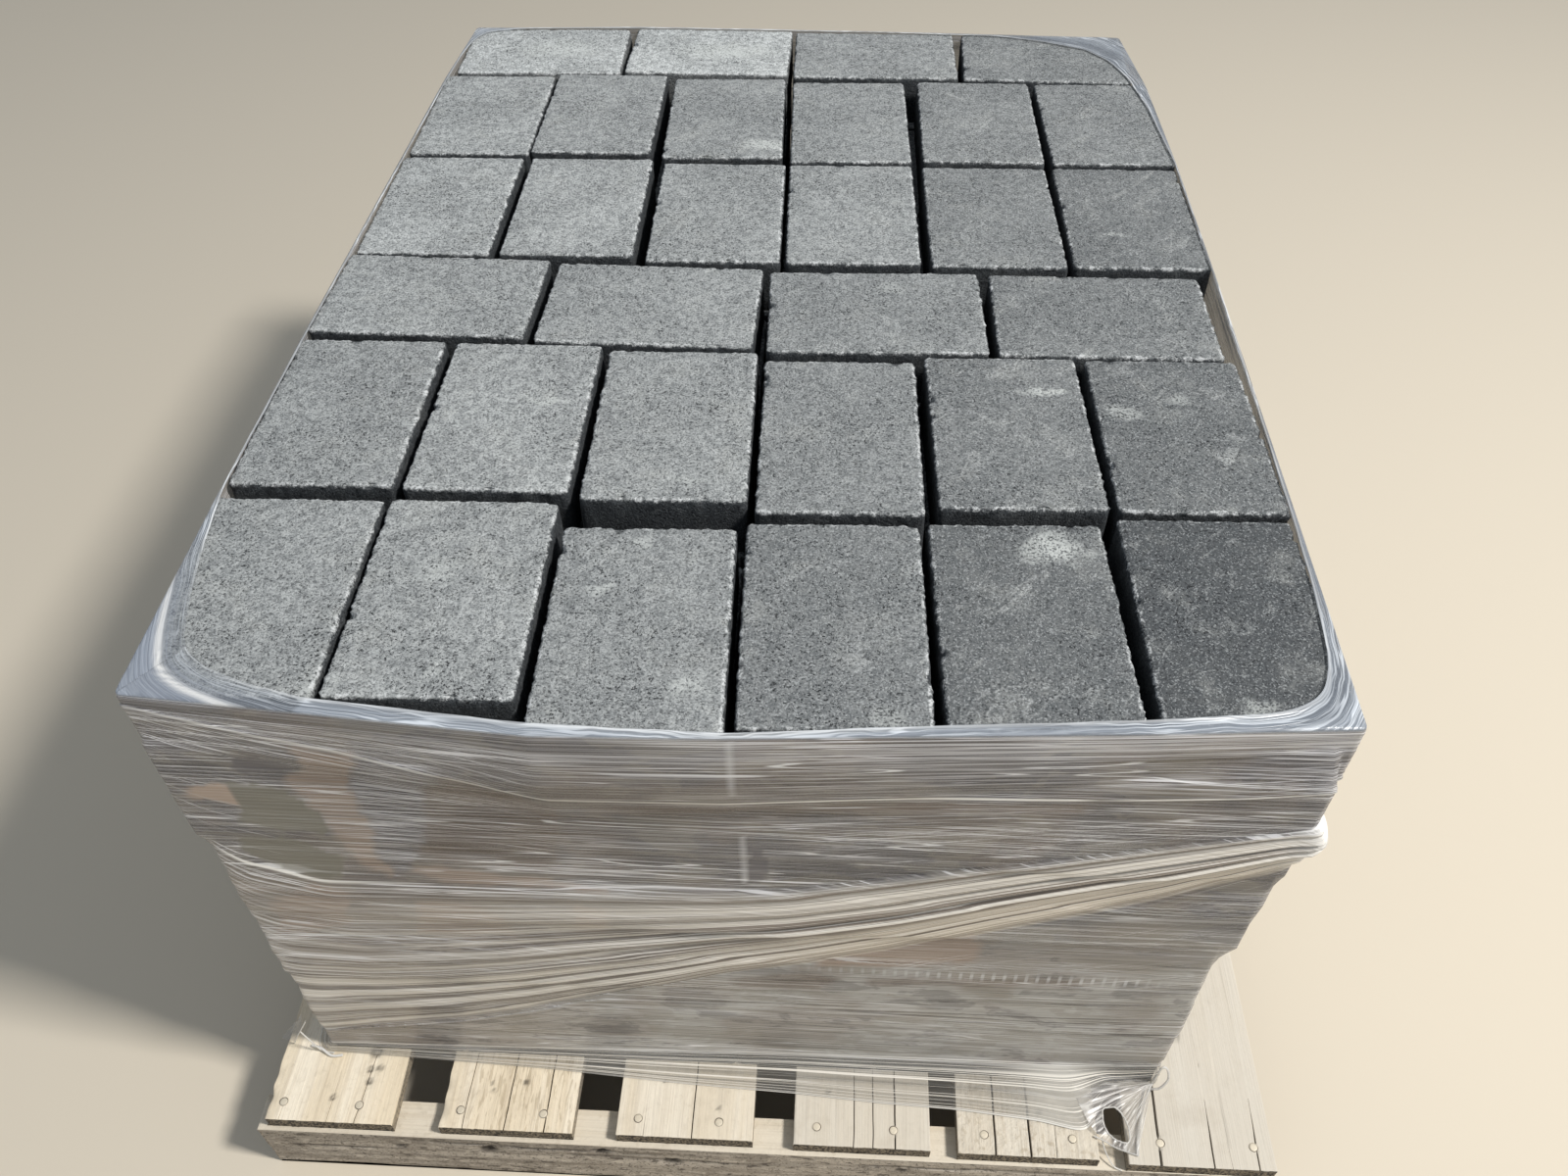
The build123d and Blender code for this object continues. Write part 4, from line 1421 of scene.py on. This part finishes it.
def film_look():
    """Milky stretch film: streaks that follow the winding, paler where it is gathered, with painted
    highlights on streaks and ridges and painted shade in the band's folds.
    """
    g = Graph("stretch_film")
    whole_turn = 2 * math.pi

    def mark(*keys):
        return [g.attribute(f"film_{key}") for key in keys]

    run, across, level, milk, fold, glow = mark("run", "across", "level", "milk", "fold", "glow")
    lip, skirt, calm, tight, ticks, line = mark("lip", "skirt", "calm", "tight", "ticks", "line")

    def streaks(run_scale, across_scale, detail, shift, source=across):
        """Noise drawn out along the winding."""
        place = {"X": run * run_scale, "Y": source * across_scale, "Z": shift}
        return g.noise(g.node("ShaderNodeCombineXYZ", 0, place), 1, detail, 0.6)

    def threads(run_scale, across_scale, shift, width, source=across):
        """Thin lines along the winding, where a stretched noise crosses its middle."""
        made = streaks(run_scale, across_scale, 1, shift, source)
        return abs(made - 0.5).span(width * 0.3, width, 1, 0)

    broad = streaks(2, 24, 2, 0.3)
    lines = streaks(2, 260, 2, 1.7)
    hairs = streaks(3, 560, 2, 3.9)
    come_and_go = streaks(3.5, 30, 3, 5.1)
    shine = streaks(1.4, 34, 2, 11.9)
    patches = g.noise(g.scaled((1, 1, 1.2), (0.9, 0.3, 0.2)), 7, 3, 0.55)
    blotches = g.noise(g.scaled((1, 1, 2.2), (0.3, 0.8, 0.6)), 15, 4, 0.6, 0.4)
    still = calm.span(0, 1, 1, 0.22)
    in_band = level.span(2, 2.03) * level.span(2.97, 3, 1, 0)

    def lower(share):
        """1 down to the band's foot, and a smaller share below it."""
        return level.span(2.9, 3.1, 1, share)

    # Pale streaks: partly the film's own milky streaks, partly painted highlights where the winding
    # catches light
    milky_and_sheen_streaks = largest(
        threads(2.6, 300, 2.3, 0.036) * come_and_go.span(0.44, 0.60, 0.05, 0.9),
        threads(2.4, 110, 4.9, 0.016) * shine.span(0.45, 0.6, 0.1, 1),
        threads(1.8, 36, 6.1, 0.016, level) * broad.span(0.4, 0.6, 0.2, 1),
    )
    near_rim = across.span(0.012, 0.034, 0.8, 0) * threads(2.6, 420, 25.1, 0.07)
    milky_and_sheen_streaks = largest(milky_and_sheen_streaks * still * lower(0.6), near_rim * broad.span(0.42, 0.55, 0.25, 0.9))
    # Thin threads where the shine noise is high: painted glints
    bright = threads(2.2, 60, 9.3, 0.010) * shine.span(0.52, 0.58) * still
    dark = threads(2.4, 260, 8.7, 0.045) * come_and_go.span(0.40, 0.55, 0.8, 0.3) * still
    creases = threads(0.5, 9, 19.7, 0.010, level) * level.span(3, 3.4)
    packed = tight * threads(1.2, 60, 13.7, 0.055, level)

    ribs = (across * (whole_turn / RIB_STEP) + streaks(1.3, 16, 2, 31.1) * 16).sine()
    ribs = ribs.span(0.55, 0.95) * streaks(3, 14, 2, 33.7).span(0.42, 0.56, 0.12, 0.8)
    turns = streaks(1.2, 3, 2, 37.1, level) * 10
    top_ribs = (level * (whole_turn * TOP_RIBS) + turns).sine().span(0.70, 0.97)
    top_ribs = top_ribs * level.span(0.95, 1.05, 1, 0) * come_and_go.span(0.40, 0.54, 0.2, 1)
    band_ribs = (level * (whole_turn * BAND_RIBS) + turns).sine()
    band_gaps = band_ribs.span(-0.95, -0.45, 0.45, 0) * in_band * broad.span(0.42, 0.56, 0.3, 1)
    band_ribs = band_ribs.span(0.50, 0.95) * in_band * broad.span(0.42, 0.56, 0.50, 1.35)
    ribs = largest(ribs * still * lower(0.45) * (1 - in_band), top_ribs, band_ribs)
    rung = largest(ticks, 0) * (run * (whole_turn / TICK_STEP)).sine().span(0.3, 0.9)
    rung = largest(rung * broad.span(0.3, 0.6), ticks * -0.45)

    # The gathered band: pale ridges over darker furrows, with shade painted into its fold valleys
    ridges = streaks(0.35, 15, 2, 7.1, level)
    small_ridges = streaks(0.5, 40, 2, 8.9, level)
    furrow = g.mix(run.span(0.25, 0.50), (104, 97, 90), (136, 125, 114))
    plain = g.mix(small_ridges.span(0.35, 0.65), (204, 192, 175), (230, 220, 204))
    band = g.coats(
        g.mix((ridges * 0.6 + small_ridges * 0.4).span(0.45, 0.55), furrow, (240, 234, 223)),
        (level.span(2.56, 2.64) * run.span(0.38, 0.60), plain),
        # Painted shade in the fold valleys
        (fold.span(0.45, 0.9, 0, 0.45), (84, 75, 68)),
        (threads(0.6, 22, 15.1, 0.022, level) * 0.75, (84, 76, 70)),
        (threads(0.7, 30, 17.9, 0.030, level) * 0.80, (250, 245, 236)),
        (abs(level - 2.02).span(0.01, 0.04, 0.8, 0), (250, 245, 236)),
    )

    # Cords in the skirt, and the lips
    cords = streaks(0.5, 9, 2, 27.3, level) * 0.6 + small_ridges * 0.4
    cords = cords.span(0.52, 0.57, 0, 0.75) * level.span(5.12, 5.2)
    cords = largest(cords, threads(0.25, 11, 35.9, 0.030, level) * level.span(5.05, 5.1))
    crumpled = across + g.noise(g.place, 22, 2, 0.5) * 0.010
    lip_lines = largest(threads(5, 300, 21.3, 0.05, crumpled), threads(7, 140, 23.9, 0.035, crumpled))
    lip_lines = lip_lines * calm.span(0, 1, 1, 0.15) * come_and_go.span(0.40, 0.56, 0.15, 1)
    lip_colour = g.coats(
        g.mix(shine.span(0.4, 0.6), (132, 139, 149), (168, 176, 186)),
        (calm * 0.8, (150, 158, 171)),
        (lip_lines * 0.7, (232, 238, 244)),
    )
    # The highlight lines and the whitened places, laid on as painted shine
    drawn = [abs(level - middle).span(width * 0.3, width, 1, 0) for middle, width in HIGHLIGHT_LINES]
    shining = largest(glow, largest(*drawn) * line)

    tints = [(g.attribute(f"film_{key}") * share, tint) for key, (share, tint) in PATCH_TINTS.items()]
    colour = g.coats(
        g.mix(broad.span(0.35, 0.65), (104, 102, 105), (119, 116, 116)),
        (across.span(0.20, 0.42, 0, 0.86), (212, 210, 204)),
        (run.span(0.40, 0.80, 0, 0.48) * level.span(1.9, 2.1, 1, 0), (84, 83, 86)),
        (run.span(0.16, 0.40, 0.5, 0) * level.span(2, 2.1), (176, 163, 150)),
        (patches.span(0.48, 0.58, 0, 0.40), (146, 130, 114)),
        (blotches.span(0.50, 0.56, 0, 0.40), (160, 154, 140)),
        (blotches.span(0.38, 0.44, 0.45, 0), (98, 95, 95)),
        *tints,
        (hairs.span(0.3, 0.55, 0.24, 0) * still * lower(0.5), (76, 72, 71)),
        (hairs.span(0.48, 0.68, 0, 0.24) * still * lower(0.5), (206, 204, 202)),
        (ribs * 0.60, (214, 212, 214)),
        (band_gaps, (104, 96, 90)),
        (dark * 0.60, (62, 58, 58)),
        (creases * 0.7, (70, 66, 62)),
        (milky_and_sheen_streaks * 0.84, (240, 240, 243)),
        (packed * 0.75, (226, 226, 230)),
        (bright * 0.9, (255, 255, 255)),
        (rung * 0.95, (236, 236, 238)),
        (milk * 0.97, band),
        (level.span(5, 5.05) * 0.6, (140, 136, 128)),
        (cords, (246, 240, 228)),
        (g.attribute("film_milky") * 0.7, (232, 228, 218)),
        (lip, lip_colour),
        ((shining * 0.9).clamped(), (252, 250, 244)),
    )
    alpha = broad.span(0.3, 0.7, 0.70, 0.80) + milky_and_sheen_streaks * 0.25 + largest(milk, calm) * 0.25
    alpha = alpha + skirt * -0.50 + cords * 0.6 + lip * (1 - lip_lines) * -0.28 + shining * 0.4
    alpha = g.math("MINIMUM", largest(alpha, ALPHA_LEAST), ALPHA_MOST)
    g.shader.inputs["IOR"].default_value = 1.55
    return g.finish(colour, 0.26, g.bump(lines * 0.4 + hairs * 0.6, 0.8, 0.0014), alpha)


studio()
stone = concrete()
top_pavers(stone)
for number in range(1, LAYERS):
    lower_pavers(number, stone)
pale = wood("deck_wood", "y", (244, 233, 212), (232, 217, 190))
grey = wood("stringer_wood", "x", (232, 220, 198), (214, 198, 170))
for number in range(1, len(BOARD_KNOTS) + 1):
    deck_board(number, pale)
for name in ("stringer_front", "stringer_middle", "stringer_rear"):
    stringer(name, grey)
nail_heads(nail_steel())
clear = film_look()
film = stretch_film(clear)
tails = [film_knot(clear), film_flap(clear)]
